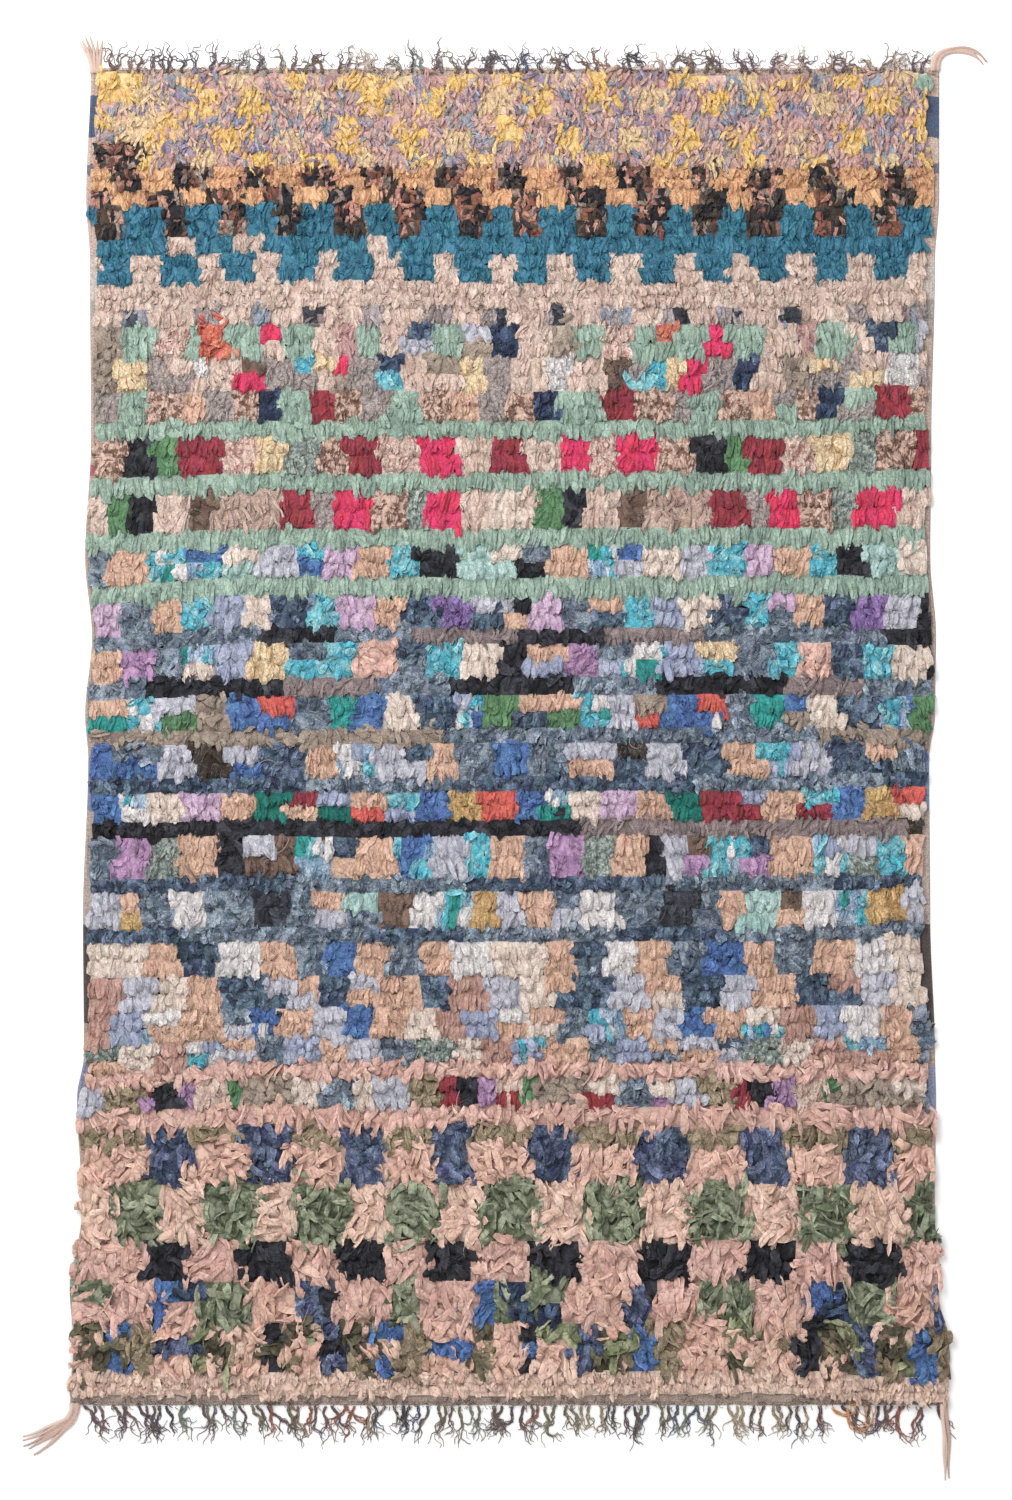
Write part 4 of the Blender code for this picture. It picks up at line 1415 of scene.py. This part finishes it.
@dataclass
class LooseThreads(Part):
    """Threads that have worked loose from the rags and lie on the pile."""

    threads: int = 26
    steps: int = 14
    thick: float = 1.3 * MM
    seed: int = 21
    tints: str = "pale pale rose charcoal tan pale plum"
    # millimetres right of the middle, millimetres down, yarn
    spots: tuple[tuple[float, float, str], ...] = (
        (60, 2140, "pale"), (92, 2120, "pale"), (500, 2375, "charcoal"),
        (520, 2390, "charcoal"), (470, 2370, "charcoal"), (20, 800, "tan"),
    )
    node = ""
    slot = "warp_fringe"

    def build(self) -> list[Piece]:
        """Drops the threads on the pile.

        Returns:
            The threads, as a list of one.
        """
        rng, n = np.random.default_rng(self.seed), self.threads
        x = rng.uniform(-0.72, 0.72, n)
        y = RUG_LENGTH / 2 - RUG_LENGTH * rng.uniform(0.25, 0.98, n) ** 0.7
        words = self.tints.split()
        names = [words[i] for i in rng.integers(len(words), size=n)]
        for i, (right, down, name) in enumerate(self.spots):
            x[i], y[i], names[i] = right * MM, RUG_LENGTH / 2 - down * MM, name
        share = np.linspace(0, 1, self.steps)
        reach = rng.uniform(25, 70, (n, 1)) * MM
        at = rng.uniform(0, 2 * np.pi, (n, 1)) + np.radians(rng.normal(0, 130, (n, 1))) * share
        path = walk(x, y, at, reach / self.steps)
        path[:, :, 2] = 18 * MM + 7.5 * MM * np.sin(np.pi * np.clip(share * 1.1, 0, 1))
        girth = np.full((n, self.steps), self.thick)
        return [dyed_tubes("loose_threads", cords(path, girth), names, YARNS)]


@dataclass
class Studio:
    """The pale floor, the soft light and the camera straight above."""

    height: float = 6.0
    lens: float = 76.19
    aim: tuple[float, float] = (-0.0095, -0.0246)
    floor_half: float = 6.0
    floor_down: float = -0.4 * MM
    floor_shade: str = "#FBFBFB"
    sky: float = 0.82
    lamp_power: float = 140.0
    lamp_size: float = 2.2
    lamp_place: tuple[float, float, float] = (-1.2, 1.9, 3.6)

    def build(self) -> None:
        """Sets up the studio."""
        scene, half, z = bpy.context.scene, self.floor_half, self.floor_down
        mesh = bpy.data.meshes.new("studio_floor")
        corners = [(-half, -half, z), (half, -half, z), (half, half, z), (-half, half, z)]
        mesh.from_pydata(corners, [], [(0, 1, 2, 3)])
        floor = bpy.data.objects.new("studio_floor", mesh)
        paint = bpy.data.materials.new("floor_board_painted_matt")
        paint.use_nodes = True
        shader = paint.node_tree.nodes["Principled BSDF"]
        shader.inputs["Base Color"].default_value = linear(self.floor_shade)
        shader.inputs["Roughness"].default_value = 0.9
        mesh.materials.append(paint)

        soft = bpy.data.lights.new("soft_lamp", "AREA")
        soft.energy, soft.size = self.lamp_power, self.lamp_size
        lamp = bpy.data.objects.new("soft_lamp", soft)
        lamp.location = self.lamp_place
        lamp.rotation_euler = Vector(self.lamp_place).to_track_quat("Z", "Y").to_euler()

        eye = bpy.data.cameras.new("camera")
        eye.lens, eye.sensor_width = self.lens, 36.0
        camera = bpy.data.objects.new("camera", eye)
        camera.location = (*self.aim, self.height)

        for made in (floor, lamp, camera):
            scene.collection.objects.link(made)
        world = bpy.data.worlds.new("studio_sky")
        world.use_nodes = True
        sky = world.node_tree.nodes["Background"]
        sky.inputs[0].default_value = (1.0, 1.0, 1.0, 1.0)
        sky.inputs[1].default_value = self.sky
        scene.world, scene.camera = world, camera
        scene.view_settings.view_transform = "Standard"
        LOG.info("studio: floor, lamp and camera")


# The tints run from the left corner to the right.
FRINGES = (
    YarnFringe(
        "short", "fringe_short", 1, SHORT_WEB, "#C2AB9E", 44 * MM,
        "brown plum plum charcoal plum grey_green plum olive plum brown plum pale charcoal "
        "grey_green plum brown plum charcoal navy plum brown rust plum charcoal pale brown "
        "plum rust plum pale rust plum tan brown pale plum",
        bundles=76, wave=38, hold=0.15, part=34, lean=28, thick=2.4 * MM, root=-10 * MM, seed=3,
    ),
    YarnFringe(
        "long", "fringe_long", -1, LONG_WEB, "#AC9B90", 56 * MM,
        "plum brown plum charcoal plum grey_green olive plum olive rust brown plum rust tan "
        "charcoal navy brown olive grey_green plum brown rust olive tan charcoal plum olive "
        "navy grey_green olive tan brown charcoal tan plum orange brown plum rust plum",
        bundles=100, wave=28, hold=0.35, part=22, lean=22, thick=2.5 * MM, root=-2 * MM, seed=9,
        lean_left=-24, strip=0.12, broken_from=-17 * MM, broken_to=5 * MM,
    ),
)

TASSELS = (
    # node, end, side, cords, length mm, bearing, spread, curl
    CornerTassel("corner_tassel_short_left", 1, -1, 6, 50, 98, 40, 8),
    CornerTassel("corner_tassel_short_right", 1, 1, 5, 112, 54, 10, -105),
    CornerTassel("corner_tassel_long_left", -1, -1, 8, 104, 220, 22, -12),
    CornerTassel("corner_tassel_long_right", -1, 1, 3, 122, 277, 5, -7),
)


def write_sizes() -> None:
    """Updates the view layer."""
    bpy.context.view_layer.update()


def main() -> None:
    """Builds the studio, then the rug piece by piece."""
    logging.basicConfig(level=logging.INFO, format="%(name)s: %(message)s")
    Studio().build()
    ends = []
    for part in (*FRINGES, *TASSELS):
        pieces = part.build()
        part.dress(pieces)
        ends.extend(pieces)
    ground = GroundWeave()
    ground.dress(ground.build(), ends)
    for part in (RagPile(BANDS), LooseThreads()):
        part.dress(part.build())
    write_sizes()


if __name__ == "__main__":
    main()
